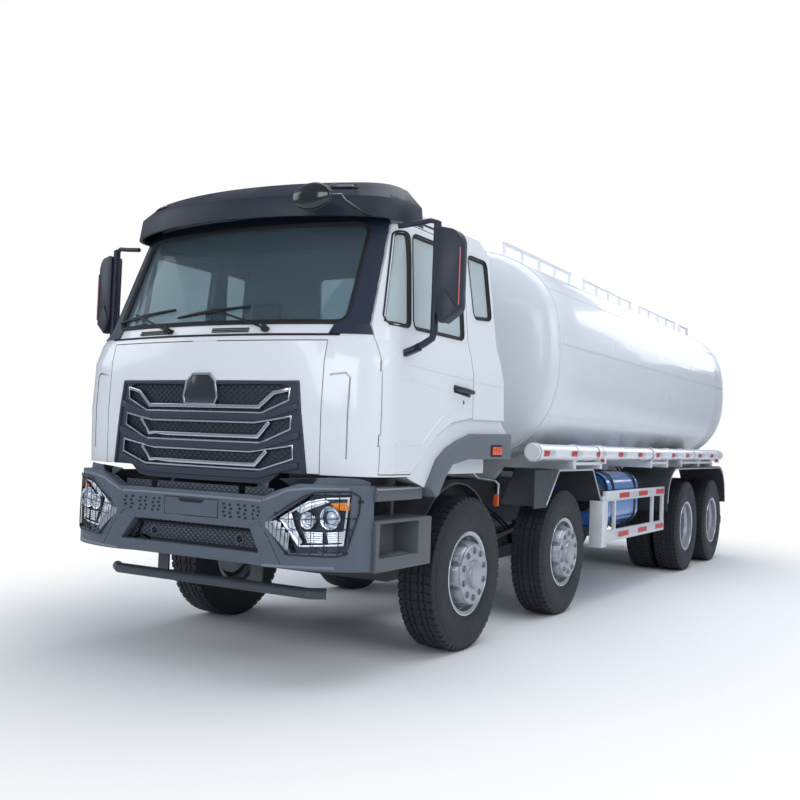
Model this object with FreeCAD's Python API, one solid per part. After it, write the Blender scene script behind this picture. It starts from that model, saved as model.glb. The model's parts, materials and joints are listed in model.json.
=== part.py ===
"""Four-axle tanker truck: tilting cab, twin steered front axles, driven rear bogie, and a round-sided tank.

Millimetres. The nose points to -Y, the vehicle's left side is +X, and the tyres stand on Z = 0. The origin is
under the middle of the truck. Places along the truck are counted from the first axle, except where they are
counted from another axle.
"""
import FreeCAD, Part
import math
import os

V = FreeCAD.Vector

# Clearance between pieces that rest on each other
SEAT_GAP = 0.3

# Stations along the truck
FRONT_OVERHANG = 1640.0
STEER_SPREAD = 1880.0
LONG_SPREAD = 4030.0
BOGIE_SPREAD = 1350.0
REAR_OVERHANG = 800.0
LENGTH = FRONT_OVERHANG + STEER_SPREAD + LONG_SPREAD + BOGIE_SPREAD + REAR_OVERHANG
AXLE_1 = FRONT_OVERHANG - LENGTH / 2
AXLE_2 = AXLE_1 + STEER_SPREAD
AXLE_3 = AXLE_2 + LONG_SPREAD
AXLE_4 = AXLE_3 + BOGIE_SPREAD
BOGIE = (AXLE_3 + AXLE_4) / 2
TAIL = AXLE_4 + REAR_OVERHANG
NOSE = AXLE_1 - FRONT_OVERHANG

# Wheels
TYRE_R = 542.0
TYRE_W = 295.0
TREAD_W = 254.0
TYRE_BULGE_R = 425.0
TYRE_SIDES = 30
RIM_R = 298.5
RIM_W = 240.0
RIM_WALL = 9.0
RIM_WELL = 26.0
BEAD_DEPTH = 22.0
FRONT_HALF_TRACK = 1028.0
REAR_HALF_TRACK = 930.0
TWIN_SPREAD = 330.0
HUB_DISC_R = 212.0
HAND_HOLE_R = 21.0
HAND_HOLES = 8
DRUM_R = 205.0
HUB_CAP_R = 98.0

# Steering
KING_PIN_X = 875.0
KING_PIN_R = 25.0
KING_BOSS_R = 46.0
KING_BOSS_H = 130.0
KING_GAP = 5.0
SPINDLE_R = 42.0
RUNNING_FIT = 0.05

# Chassis
RAIL_HALF_OUT = 425.0
RAIL_FLANGE = 80.0
RAIL_WEB = 8.0
RAIL_LOW = 735.0
RAIL_TOP = 1020.0
RAIL_NOSE = -1290.0
SUBFRAME_H = 120.0
SUBFRAME_W = 70.0
DECK_LOW = 1262.0
SPRING_W = 90.0
FRONT_SPRING_X = 415.0
REAR_SPRING_X = 500.0

# Cab
CAB_WALL = 60.0
CAB_FLOOR_LOW = 1245.0
CAB_FLOOR_TOP = 1300.0
TUNNEL_HALF = 380.0
TUNNEL_TOP = 1590.0
TUNNEL_WALL = 30.0
SEAM = 6.0
GLASS = 8.0
TILT_Y = -1460.0
TILT_Z = 940.0
TILT_ARM_TOP_Y = -1315.0
TILT_PIN_R = 20.0
TILT_ARM_X = 365.0
PANEL_HALF = 885.0
PANEL_LOW = 1250.0
PANEL_TOP = 2052.0
PANEL_T = 40.0
PANEL_PIN_R = 2.5
PANEL_PIN_Y = -1552.0
PANEL_PIN_Z = PANEL_TOP + PANEL_PIN_R + 0.5
PANEL_PIN_HALF = 100.0
DOOR_FRONT = -1330.0
DOOR_REAR = -190.0
DOOR_LOW = 1262.0
DOOR_TOP = 2842.0
DOOR_TOP_FRONT = -1020.0
DOOR_INNER_X = 900.0
DOOR_REVEAL = 20.0
DOOR_RELIEF = 21.0
DASHBOARD_INSET = 30.0
DOOR_HINGE_X = 1205.0
DOOR_HINGE_Y = -1337.0
DOOR_HINGES_Z = (1430.0, 1880.0)
DOOR_PIN_R = 3.0
ARCH_INNER_X = 1090.0
FLARE_X = 1260.0
ARCH_PANEL_X = 1212.0

# Tank
TANK_HALF = 1250.0
TANK_HALF_H = 950.0
TANK_MID_Z = 2240.0
TANK_SQUARENESS = 2.6
TANK_FRONT = 1290.0
TANK_REAR = 7800.0
HEAD_DEPTH = 150.0
TUBE_R = 69.0
TUBE_X = 1180.0
TUBE_Z = 1410.0
TUBE_FRONT = 1070.0
TUBE_REAR = 7790.0
CLAMP_T = 7.0
MANHOLES = (2490.0, 6650.0)
NECK_R = 250.0
NECK_TOP = 3235.0
LID_T = 30.0
LID_GAP = 0.3
HINGE_X = -285.0
HINGE_Z = NECK_TOP + LID_T / 2
HINGE_HALF = 42.0
HINGE_PIN_R = 6.0
EAR_T = 18.0
HOSE_FLANGE_PCD = 180.0
PIPE_R = 50.0

# Cab skin, counted from the first axle: each level gives z, the nose on the centre line, the point where the
# bowed front meets the corner as (x, y), the half width, where the corner meets the side, and the back wall.
CAB_LEVELS = (
    (1245.0, -1555.0, (885.0, -1492.0), 1238.0, -1200.0, 345.0),
    (1620.0, -1565.0, (885.0, -1500.0), 1250.0, -1210.0, 340.0),
    (1930.0, -1562.0, (890.0, -1485.0), 1248.0, -1190.0, 315.0),
    (2060.0, -1555.0, (895.0, -1455.0), 1225.0, -1150.0, 302.0),
    (2160.0, -1520.0, (905.0, -1385.0), 1195.0, -1110.0, 293.0),
    (2860.0, -1240.0, (905.0, -1085.0), 1125.0, -860.0, 232.0),
    (2960.0, -1180.0, (850.0, -1030.0), 1070.0, -800.0, 190.0),
    (3040.0, -1020.0, (700.0, -880.0), 870.0, -640.0, 60.0),
)
CORNER_WEIGHT = 1.0
CAB_TOP = CAB_LEVELS[-1][0]

# Side-view lines of the front wheel arch, from front to rear
ARCH_PANEL_TOP = [(-1008, 1236), (-889, 1347), (-702, 1497), (-500, 1588), (-204, 1632), (345, 1636)]
FLARE_TOP = [(-780, 1172), (-734, 1234), (-647, 1350), (-512, 1429), (-368, 1478), (-157, 1530), (470, 1544)]
FLARE_LOW = [(-690, 1105), (-657, 1120), (-568, 1231), (-474, 1316), (-206, 1356), (470, 1350)]
DOOR_SILL = [(-1008, 1262), (-889, 1353), (-702, 1503), (-500, 1594), (-204, 1638)]

# Panes in side view as (y, z), screens in front view as (x, z)
FRONT_PANE = [(-1235, 2180), (-1005, 2180), (-945, 2785), (-1025, 2785)]
REAR_PANE = [(-950, 2180), (-260, 2180), (-240, 2785), (-900, 2785)]
QUARTER_PANE = [(-60, 2355), (210, 2375), (180, 2790), (-110, 2790)]
WINDSCREEN = [(-950, 2172), (950, 2172), (930, 2835), (-930, 2835)]
CORNER_GROOVE = [(1056, 1345), (1060, 1835), (1030, 1862), (930, 1850)]
GROOVE_W = 12.0
GROOVE_DEPTH = 14.0
BACK_WINDOW = [(-380, 2300), (380, 2300), (380, 2750), (-380, 2750)]

# Grille in front view, as (x, z). Each slot is the right half of its opening, from the top down, and the
# line of the bright bar inside it, from its end to its bend.
GRILLE = [(-808, 1240), (808, 1240), (735, 1805), (-735, 1805)]
CHIN = [(-640, 1262), (640, 1262), (545, 1186), (455, 1172), (-455, 1172), (-545, 1186)]
CHIN_T = 20.0
GRILLE_SLOTS = (
    ([(600, 1783), (672, 1764), (668, 1686), (480, 1606)], [(668, 1764), (560, 1738), (457, 1653)]),
    ([(430, 1545), (690, 1588), (686, 1511), (480, 1423)], [(535, 1562), (454, 1469)]),
    ([(400, 1365), (703, 1412), (708, 1332), (480, 1258)], [(520, 1384), (437, 1295)]),
)
GRILLE_SET_IN = 4.0
MESH_SET_IN = 26.0
TRIM_PROUD = 4.0
RING_W = 11.0
BAR_W = 24.0

# Visor, in the cab skin's terms
VISOR_LEVELS = (
    (2855.0, -1450.0, (900.0, -1240.0), 1128.0, -940.0, -760.0),
    (2990.0, -1435.0, (890.0, -1225.0), 1112.0, -930.0, -760.0),
    (3105.0, -1270.0, (850.0, -1105.0), 1020.0, -890.0, -800.0),
)
VISOR_T = 22.0

# Front-view outlines on the bumper
HEADLAMP = [(655, 965), (905, 1135), (1122, 1140), (1104, 800), (800, 785)]
BUMPER_EDGE = [(-1260, 690), (1260, 690), (1260, 1192), (830, 1192), (700, 1150), (600, 1106), (-600, 1106),
               (-700, 1150), (-830, 1192), (-1260, 1192)]
LOWER_SLOT = [(-480, 905), (480, 905), (575, 765), (-575, 765)]
BUMPER_PLAN = ((470.0, -1612.0), (600.0, -1640.0), (1188.0, -1370.0))
BUMPER_CORNER_WEIGHT = 0.6
BUMPER_WALL = 70.0
BUMPER_BACK = -1340.0
TOW_BORE_R = 26.0
TOW_WALL = 8.0
TOW_BORE_X = 355.0
TOW_BORE_Z = 825.0
SLOT_BACK = -1545.0

# Underrun bar
UNDERRUN_R = 34.0
UNDERRUN_Z = 525.0
UNDERRUN_Y = -1415.0

# Entry steps
STEP_X0 = 970.0
STEP_X1 = 1212.0
STEP_FRONT = BUMPER_BACK + SEAT_GAP
STEP_REAR = -660.0

# Places of the frame's cross members and of the cab's latch
CROSS_MEMBERS = (-1230.0, 1620.0, 2600.0, 4300.0, 5420.0, 6585.0, 7700.0)
CAB_LATCH_Y = 300.0

# Depth and width of a dished head, as shares of its depth and of the tank's width
DISH = ((0.0, 1.0), (0.3, 0.985), (0.55, 0.94), (0.8, 0.8), (0.94, 0.55), (1.0, 0.25))

# Tank bearers
OUTRIGGERS = (1990.0, 2700.0, 4400.0, 5060.0, 5700.0, 6585.0, 7300.0)
SHELVES = ((1950.0, 2745.0), (4360.0, 5100.0), (5650.0, 7350.0))
OUTRIGGER_OUT = 1205.0

# Rails on top of the tank
TOP_RAIL_RUNS = ((1650.0, 3330.0), (3740.0, 5430.0), (5800.0, 7500.0))
TOP_RAIL_X = 600.0
TOP_RAIL_Z = 3264.0
TOP_RAIL_R = 16.0

# Ladder
LADDER_X = 450.0
LADDER_HALF = 190.0

# Side guards
GUARD_X0 = 1200.0
GUARD_X1 = 1236.0

# Fuel tank
FUEL_X0 = 470.0
FUEL_X1 = 1115.0

# Springs and axle ends
SPRING_SEAT = 570.0
SPINDLE_END = 1130.0
REAR_SPINDLE_END = 1010.0
BOGIE_SEAT = 728.7

# Door mirror
MIRROR_POST_X = 1395.0

PIECES = {}


def box(x0, x1, y0, y1, z0, z1):
    """A box between two corners."""
    return Part.makeBox(x1 - x0, y1 - y0, z1 - z0, V(x0, y0, z0))


def rod(start, end, radius):
    """A round bar from one point to another."""
    run = end - start
    return Part.makeCylinder(radius, run.Length, start, run)


def disc_x(x0, x1, y, z, radius):
    """A round plate across the truck."""
    return rod(V(x0, y, z), V(x1, y, z), radius)


def face_of(points):
    return Part.Face(Part.makePolygon(points + [points[0]]))


def plate_x(outline, x0, x1):
    """A side-view outline, given as (y, z), made solid from x0 to x1."""
    return face_of([V(x0, y, z) for y, z in outline]).extrude(V(x1 - x0, 0, 0))


def plate_y(outline, y0, y1):
    """A front-view outline, given as (x, z), made solid from y0 to y1."""
    return face_of([V(x, y0, z) for x, z in outline]).extrude(V(0, y1 - y0, 0))


def mirrored(shape):
    return shape.mirror(V(0, 0, 0), V(1, 0, 0))


def pair(shape):
    """A piece and its mirror image on the other side of the truck."""
    return [shape, mirrored(shape)]


def joined(parts):
    return parts[0].fuse(parts[1:]).removeSplitter()


def largest(shape):
    return max(shape.Solids, key=lambda s: s.Volume)


def group(parts):
    return Part.makeCompound(parts)


def moved(shape, x=0.0, y=0.0, z=0.0):
    copy = shape.copy()
    copy.translate(V(x, y, z))
    return copy


def ribbon(line, thickness):
    """The closed outline of a sheet of even thickness whose one face follows an open line."""
    other = []
    for i, (a, b) in enumerate(line):
        before = line[max(i - 1, 0)]
        after = line[min(i + 1, len(line) - 1)]
        normals = []
        for p, q in ((before, (a, b)), ((a, b), after)):
            run = math.hypot(q[0] - p[0], q[1] - p[1])
            if run > 0:
                normals.append((-(q[1] - p[1]) / run, (q[0] - p[0]) / run))
        nx = sum(n[0] for n in normals) / len(normals)
        ny = sum(n[1] for n in normals) / len(normals)
        scale = thickness / (nx * nx + ny * ny)
        other.append((a + nx * scale, b + ny * scale))
    return list(line) + other[::-1]


def arc_line(y, z, radius, start, end, steps):
    """Points on an arc in side view; angles in degrees from +Y towards +Z."""
    points = []
    for i in range(steps + 1):
        angle = math.radians(start + (end - start) * i / steps)
        points.append((y + radius * math.cos(angle), z + radius * math.sin(angle)))
    return points


def turned(profile, x_sign=1.0):
    """A wheel piece turned about the X axis from (x, radius) points."""
    shape = face_of([V(x_sign * x, 0, r) for x, r in profile])
    return shape.revolve(V(0, 0, 0), V(1, 0, 0), 360)


def level_at(z, levels):
    """The skin level at height z, between the two listed levels around it."""
    for low, high in zip(levels, levels[1:]):
        if low[0] <= z <= high[0]:
            share = (z - low[0]) / (high[0] - low[0])
            mix = []
            for a, b in zip(low, high):
                if isinstance(a, tuple):
                    mix.append((a[0] + (b[0] - a[0]) * share, a[1] + (b[1] - a[1]) * share))
                else:
                    mix.append(a + (b - a) * share)
            return tuple(mix)
    return levels[-1]


def corner_curve(start, start_slope, end, z, weight=CORNER_WEIGHT):
    """A corner from the bowed front, met at its slope, to the side, met square to the front."""
    run = end.x - start.x
    pole = V(end.x, start.y + start_slope * run, z)
    curve = Part.BSplineCurve()
    curve.buildFromPolesMultsKnots([start, pole, end], [3, 3], [0.0, 1.0], False, 2, [1.0, weight, 1.0])
    return curve.toShape()


def level_wire(level, inset):
    """A closed plan curve at one level, drawn in from the skin by inset."""
    z, nose, shoulder, half_width, corner_y, back = level
    x1 = shoulder[0]
    bow = shoulder[1] - nose
    radius = (x1 * x1 + bow * bow) / (2 * bow)
    centre_y = nose + radius
    radius_in = radius - inset
    x_in = x1 - 0.3 * inset
    y_in = centre_y - math.sqrt(radius_in * radius_in - x_in * x_in)
    slope = x_in / math.sqrt(radius_in * radius_in - x_in * x_in)
    left_front = V(x_in, AXLE_1 + y_in, z)
    right_front = V(-x_in, AXLE_1 + y_in, z)
    nose_point = V(0, AXLE_1 + nose + inset, z)
    x_side = half_width - inset
    y_side = AXLE_1 + corner_y
    rear = AXLE_1 + back - inset
    left_corner = corner_curve(left_front, slope, V(x_side, y_side, z), z)
    edges = [
        mirrored(left_corner),
        Part.Arc(right_front, nose_point, left_front).toShape(),
        left_corner,
        Part.makeLine(V(x_side, y_side, z), V(x_side, rear, z)),
        Part.makeLine(V(x_side, rear, z), V(-x_side, rear, z)),
        Part.makeLine(V(-x_side, rear, z), V(-x_side, y_side, z)),
    ]
    return Part.Wire(Part.__sortEdges__(edges))


def skin_solid(levels, inset, z_low, z_high):
    """The solid inside a curved skin between two heights."""
    heights = [z_low] + [lv[0] for lv in levels if z_low < lv[0] < z_high] + [z_high]
    wires = [level_wire(level_at(z, levels), inset) for z in heights]
    return Part.makeLoft(wires, True, True)


def at_axle_1(outline):
    """A side-view outline counted from the first axle, put at its place along the truck."""
    return [(AXLE_1 + y, z) for y, z in outline]


def door_outline(grow):
    """The door's edge in side view, with the wheel arch cut from its rear lower corner."""
    sill = [(y - 0.7 * grow, z - 0.7 * grow) for y, z in DOOR_SILL]
    outline = [(DOOR_FRONT - grow, 2070.0), (DOOR_FRONT - grow, DOOR_LOW - grow)]
    outline += [(sill[0][0], DOOR_LOW - grow)] + sill[1:]
    outline += [(DOOR_REAR + grow, sill[-1][1]), (DOOR_REAR + grow, DOOR_TOP + grow)]
    outline += [(DOOR_TOP_FRONT - grow, DOOR_TOP + grow)]
    return at_axle_1(outline)


def rounded_x(outline, x0, x1, radius):
    """A side-view outline made solid, with its corners rounded in that view."""
    block = plate_x(outline, x0, x1)
    along = [e for e in block.Edges if abs(e.tangentAt(e.FirstParameter).x) > 0.99]
    return block.makeFillet(radius, along)


def rounded_y(outline, y0, y1, radius):
    """A front-view outline made solid, with its corners rounded in that view."""
    block = plate_y(outline, y0, y1)
    along = [e for e in block.Edges if abs(e.tangentAt(e.FirstParameter).y) > 0.99]
    return block.makeFillet(radius, along)


def arch_zone(grow):
    """The space on the left side that the arch panel and flare take from the cab's wall."""
    top = [(y, z + grow) for y, z in ARCH_PANEL_TOP]
    outline = top + [(400, 1636 + grow), (400, 1200), (-1008, 1200)]
    return plate_x(at_axle_1(outline), ARCH_INNER_X - grow, 1400.0)


def tunnel(grow):
    return box(-TUNNEL_HALF - grow, TUNNEL_HALF + grow, AXLE_1 - 1270 - grow, AXLE_1 + 500, 1200,
               TUNNEL_TOP + grow)


def build_cab():
    """The hollow cab, its doors, its hinged front panel, and their glass."""
    outer = skin_solid(CAB_LEVELS, 0.0, CAB_FLOOR_LOW, CAB_TOP)
    cavity = skin_solid(CAB_LEVELS, CAB_WALL, CAB_FLOOR_TOP, CAB_TOP - CAB_WALL)
    firewall = box(-PANEL_HALF - 60, PANEL_HALF + 60, NOSE - 50, AXLE_1 - 1350, 1200, 2105)
    cavity = cavity.cut(firewall)
    for zone in pair(arch_zone(50.0)):
        cavity = cavity.cut(zone)
    cavity = cavity.cut(tunnel(TUNNEL_WALL))
    shell = outer.cut(cavity).cut(tunnel(0.0))

    recess = outer.cut(skin_solid(CAB_LEVELS, CAB_WALL + DOOR_REVEAL, CAB_FLOOR_LOW, CAB_TOP))
    door_space = recess.common(plate_x(door_outline(SEAM), DOOR_INNER_X, 1400))
    door_block = plate_x(door_outline(0.0), DOOR_INNER_X, 1400)
    wall = outer.cut(skin_solid(CAB_LEVELS, CAB_WALL, CAB_FLOOR_LOW, CAB_TOP))
    door = wall.common(door_block)
    door = door.cut(rounded_x(at_axle_1(FRONT_PANE), 950, 1400, 28))
    door = door.cut(rounded_x(at_axle_1(REAR_PANE), 950, 1400, 28))

    hinge_y = AXLE_1 + DOOR_HINGE_Y
    notches = []
    for z in DOOR_HINGES_Z:
        low = V(DOOR_HINGE_X, hinge_y, z)
        pin = rod(low, low + V(0, 0, 60), DOOR_PIN_R)
        leaf = box(DOOR_HINGE_X - 2.5, DOOR_HINGE_X + 2.5, hinge_y, AXLE_1 + DOOR_FRONT + 4, z, z + 60)
        door = joined([door, pin, leaf])
        notches.append(rod(low - V(0, 0, 6), low + V(0, 0, 66), DOOR_PIN_R + 9))

    pane_wall = skin_solid(CAB_LEVELS, 14.0, CAB_FLOOR_LOW, 2900)
    pane_wall = pane_wall.cut(skin_solid(CAB_LEVELS, 14.0 + GLASS, CAB_FLOOR_LOW, 2900))
    panes = []
    for outline in (FRONT_PANE, REAR_PANE):
        panes.append(pane_wall.common(rounded_x(at_axle_1(outline), 950, 1400, 28)))
    quarter = rounded_x(at_axle_1(QUARTER_PANE), 1000, 1400, 35)
    glass = [pane_wall.common(q) for q in pair(quarter)]
    screen = rounded_y(WINDSCREEN, NOSE - 50, AXLE_1 - 950, 70)
    glass.append(pane_wall.common(screen))
    back = rounded_y(BACK_WINDOW, AXLE_1 + 150, AXLE_1 + 400, 60)
    glass.append(pane_wall.common(back))
    edge_y = AXLE_1 + DOOR_FRONT - SEAM
    wedge = face_of([V(DOOR_HINGE_X - 1, edge_y + 1, CAB_FLOOR_LOW),
                     V(DOOR_HINGE_X + DOOR_RELIEF, edge_y + 1, CAB_FLOOR_LOW),
                     V(DOOR_HINGE_X + DOOR_RELIEF, edge_y - DOOR_RELIEF, CAB_FLOOR_LOW)])
    notches.append(wedge.extrude(V(0, 0, 2070 - CAB_FLOOR_LOW)))
    for opening in pair(door_space) + pair(group(notches)) + pair(quarter) + [screen, back]:
        shell = shell.cut(opening)
    for zone in pair(arch_zone(0.0)):
        shell = shell.cut(zone)
    groove = outer.cut(skin_solid(CAB_LEVELS, GROOVE_DEPTH, CAB_FLOOR_LOW, CAB_TOP))
    for slot in pair(plate_y(ribbon(CORNER_GROOVE, GROOVE_W), NOSE - 50, AXLE_1 - 1200)):
        shell = shell.cut(groove.common(slot))

    panel_space = box(-PANEL_HALF - SEAM, PANEL_HALF + SEAM, NOSE - 50, AXLE_1 - 1400, CAB_FLOOR_LOW - 5,
                      PANEL_TOP + SEAM)
    shell = shell.cut(panel_space.cut(skin_solid(CAB_LEVELS, 110.0, 1200.0 + 45, 2100)))
    panel = outer.cut(skin_solid(CAB_LEVELS, PANEL_T, CAB_FLOOR_LOW, CAB_TOP))
    panel = panel.common(box(-PANEL_HALF, PANEL_HALF, NOSE - 50, AXLE_1 - 1380, PANEL_LOW, PANEL_TOP))

    liner = plate_x(at_axle_1(ARCH_PANEL_TOP + FLARE_TOP[::-1]), ARCH_INNER_X, ARCH_PANEL_X)
    arms = []
    for x in (-TILT_ARM_X - 15, TILT_ARM_X - 15):
        line = at_axle_1([(TILT_Y - 31, TILT_Z + 14), (TILT_ARM_TOP_Y - 31, CAB_FLOOR_LOW + 14)])
        arm = plate_x(ribbon(line, -68.0), x, x + 30)
        arm = arm.fuse(disc_x(x, x + 30, AXLE_1 + TILT_Y, TILT_Z, 34.0))
        arms.append(arm.cut(disc_x(x - 5, x + 35, AXLE_1 + TILT_Y, TILT_Z, TILT_PIN_R + RUNNING_FIT)))
    pin_y = AXLE_1 + PANEL_PIN_Y
    pin = rod(V(-PANEL_PIN_HALF, pin_y, PANEL_PIN_Z), V(PANEL_PIN_HALF, pin_y, PANEL_PIN_Z), PANEL_PIN_R)
    leaf = box(-PANEL_PIN_HALF, PANEL_PIN_HALF, pin_y, pin_y + PANEL_PIN_R, PANEL_PIN_Z, PANEL_TOP + SEAM + 5)
    shell = joined([shell, pin, leaf] + pair(liner) + arms)
    return shell, glass, panel, door, panes


def build_grille(panel):
    """The dark grille frame with its mesh, and the bright rings and bars of its slots."""
    y0 = NOSE - 50
    y1 = AXLE_1 - 1380
    opening = plate_y(GRILLE, y0, y1)
    panel = panel.cut(opening)
    behind = skin_solid(CAB_LEVELS, PANEL_T - GRILLE_SET_IN, CAB_FLOOR_LOW, 2100)
    mesh_front = skin_solid(CAB_LEVELS, MESH_SET_IN, CAB_FLOOR_LOW, 2100)
    face = skin_solid(CAB_LEVELS, GRILLE_SET_IN, CAB_FLOOR_LOW, 2100).cut(behind).common(opening)
    mesh = mesh_front.cut(behind)
    proud = skin_solid(CAB_LEVELS, -TRIM_PROUD, CAB_FLOOR_LOW, 2100).cut(mesh_front)
    trims = []
    for half, bar in GRILLE_SLOTS:
        outline = half + [(-x, z) for x, z in half[::-1]]
        hole = plate_y(outline, y0, y1)
        inside = face_of([V(x, y0, z) for x, z in outline]).makeOffset2D(-RING_W, join=2)
        ring = hole.cut(inside.extrude(V(0, y1 - y0, 0)))
        if half[0][0] > bar[0][0] - 100:
            ring = ring.cut(box(-half[0][0], half[0][0], y0, y1, bar[0][1], half[0][1] + 10))
        low = [(x, z - BAR_W / 2) for x, z in bar]
        band = plate_y(ribbon([(-x, z) for x, z in low] + low[::-1], BAR_W), y0, y1)
        face = face.cut(hole).fuse(mesh.common(hole))
        trims.append(proud.common(ring.fuse(band.common(hole))).removeSplitter())
    chin = Part.Face(level_wire(CAB_LEVELS[0], GRILLE_SET_IN)).cut(
        Part.Face(level_wire(CAB_LEVELS[0], GRILLE_SET_IN + CHIN_T)))
    chin = moved(chin, z=-80.0).extrude(V(0, 0, 88)).common(plate_y(CHIN, y0, y1))
    return panel, joined([face, chin]), group(trims)


def build_visor():
    """The hood over the windscreen, open underneath, closed against the roof."""
    outer = skin_solid(VISOR_LEVELS, 0.0, VISOR_LEVELS[0][0], VISOR_LEVELS[-1][0])
    inner = skin_solid(VISOR_LEVELS, VISOR_T, VISOR_LEVELS[0][0], VISOR_LEVELS[-1][0] - VISOR_T)
    cab = skin_solid(CAB_LEVELS, 0.0, 2000.0, CAB_TOP)
    hood = outer.cut(inner).cut(cab)
    return largest(hood), outer


def build_flares():
    flare = plate_x(at_axle_1(FLARE_TOP + FLARE_LOW[::-1]), ARCH_INNER_X, FLARE_X)
    return group(pair(flare))


def bumper_plan(inset, depth):
    """The bumper's plan outline: a flat middle, a step forward, and ends swept back."""
    middle, step, end = [V(x, AXLE_1 + y, 0) for x, y in BUMPER_PLAN]
    middle += V(0, inset, 0)
    step += V(-0.1 * inset, inset, 0)
    end += V(-inset, 0, 0)
    back = V(end.x, AXLE_1 + depth, 0)
    corner = corner_curve(step, 0.0, end, 0.0, BUMPER_CORNER_WEIGHT)
    half = [Part.makeLine(middle, step), corner, Part.makeLine(end, back)]
    across = [Part.makeLine(V(-middle.x, middle.y, 0), middle), Part.makeLine(back, V(-back.x, back.y, 0))]
    return Part.Face(Part.Wire(Part.__sortEdges__(half + [mirrored(e) for e in half] + across)))


def bumper_block(inset):
    return moved(bumper_plan(inset, BUMPER_BACK + inset), z=600).extrude(V(0, 0, 700))


def build_bumper():
    """The moulded bumper with its lamp openings, lower slot and mesh, and the two lamps."""
    shell = bumper_block(0.0).cut(bumper_block(BUMPER_WALL))
    shell = shell.common(plate_y(BUMPER_EDGE, NOSE - 50, AXLE_1 + BUMPER_BACK))
    lamps = []
    lamp_slab = bumper_block(8.0).cut(bumper_block(BUMPER_WALL))
    for opening in pair(plate_y(HEADLAMP, NOSE - 50, AXLE_1 + BUMPER_BACK)):
        lamps.append(lamp_slab.common(opening))
        shell = shell.cut(opening)
    shell = shell.cut(plate_y(LOWER_SLOT, NOSE - 50, AXLE_1 + BUMPER_BACK))
    mesh = box(-620, 620, AXLE_1 + SLOT_BACK, AXLE_1 + SLOT_BACK + 15, 740, 930)
    for x in (-TOW_BORE_X, TOW_BORE_X):
        socket = rod(V(x, AXLE_1 + SLOT_BACK - 10, TOW_BORE_Z), V(x, AXLE_1 - 1400, TOW_BORE_Z),
                     TOW_BORE_R + TOW_WALL)
        mesh = mesh.fuse(socket)
    for x in (-TOW_BORE_X, TOW_BORE_X):
        mesh = mesh.cut(rod(V(x, AXLE_1 + SLOT_BACK - 20, TOW_BORE_Z), V(x, AXLE_1 - 1390, TOW_BORE_Z),
                            TOW_BORE_R))
    fins = box(-610, 610, AXLE_1 - 1566, AXLE_1 - 1554, 1090, 1150)
    stay_end = AXLE_1 + TILT_Y - 42 - SEAT_GAP
    stays = [box(x - 20, x + 20, AXLE_1 - 1560, stay_end, 930, 975) for x in (-405, 405)]
    body = joined([shell, mesh, fins] + stays)
    for x in (-TILT_ARM_X, TILT_ARM_X):
        body = body.cut(box(x - 30, x + 30, AXLE_1 - 1597, AXLE_1 + BUMPER_BACK, 1002, 1200))
    return body, group(lamps)


def build_underrun():
    """The round bar below the bumper, on two posts, with its ends bent back."""
    z = UNDERRUN_Z
    y = AXLE_1 + UNDERRUN_Y
    bar = rod(V(-800, y, z), V(800, y, z), UNDERRUN_R)
    parts = [bar]
    for side in (-1, 1):
        knee = V(side * 800, y, z)
        parts.append(Part.makeSphere(UNDERRUN_R, knee))
        parts.append(rod(knee, V(side * 880, y + 60, z), UNDERRUN_R))
        parts.append(box(side * 392 - 45, side * 392 + 45, y - 8, y + 8, z, RAIL_LOW - SEAT_GAP))
        parts.append(box(side * 392 - 33, side * 392 + 33, y - 8, AXLE_1 + RAIL_NOSE + 120, RAIL_LOW - 22,
                         RAIL_LOW - SEAT_GAP))
    return joined(parts)


def build_steps():
    """The two-tread entry step on each side, hung from the frame."""
    y0 = AXLE_1 + STEP_FRONT
    y1 = AXLE_1 + STEP_REAR
    lower = box(STEP_X0, STEP_X1, y0, y1, 678, 985)
    lower = lower.cut(box(STEP_X0 + 60, STEP_X1 + 10, y0 + 40, y0 + 510, 760, 965))
    upper = box(STEP_X0, STEP_X1 - 4, y0, y1 - 135, 1100, 1172)
    parts = [lower, upper]
    for y in (y0 + 10, y1 - 190):
        parts.append(box(STEP_X0, STEP_X0 + 40, y, y + 40, 980, 1105))
    for y in (y0 + 60, y0 + 560):
        parts.append(box(RAIL_HALF_OUT, STEP_X0 + 10, y, y + 50, 800, 860))
    return group(pair(joined(parts)))


def channel(side, y0, y1):
    """One C-section side rail."""
    x1 = RAIL_HALF_OUT
    x0 = x1 - RAIL_FLANGE
    beam = box(x0, x1, y0, y1, RAIL_LOW, RAIL_TOP)
    beam = beam.cut(box(x0 - 10, x1 - RAIL_WEB, y0 - 10, y1 + 10, RAIL_LOW + RAIL_WEB, RAIL_TOP - RAIL_WEB))
    return beam if side > 0 else mirrored(beam)


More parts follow.
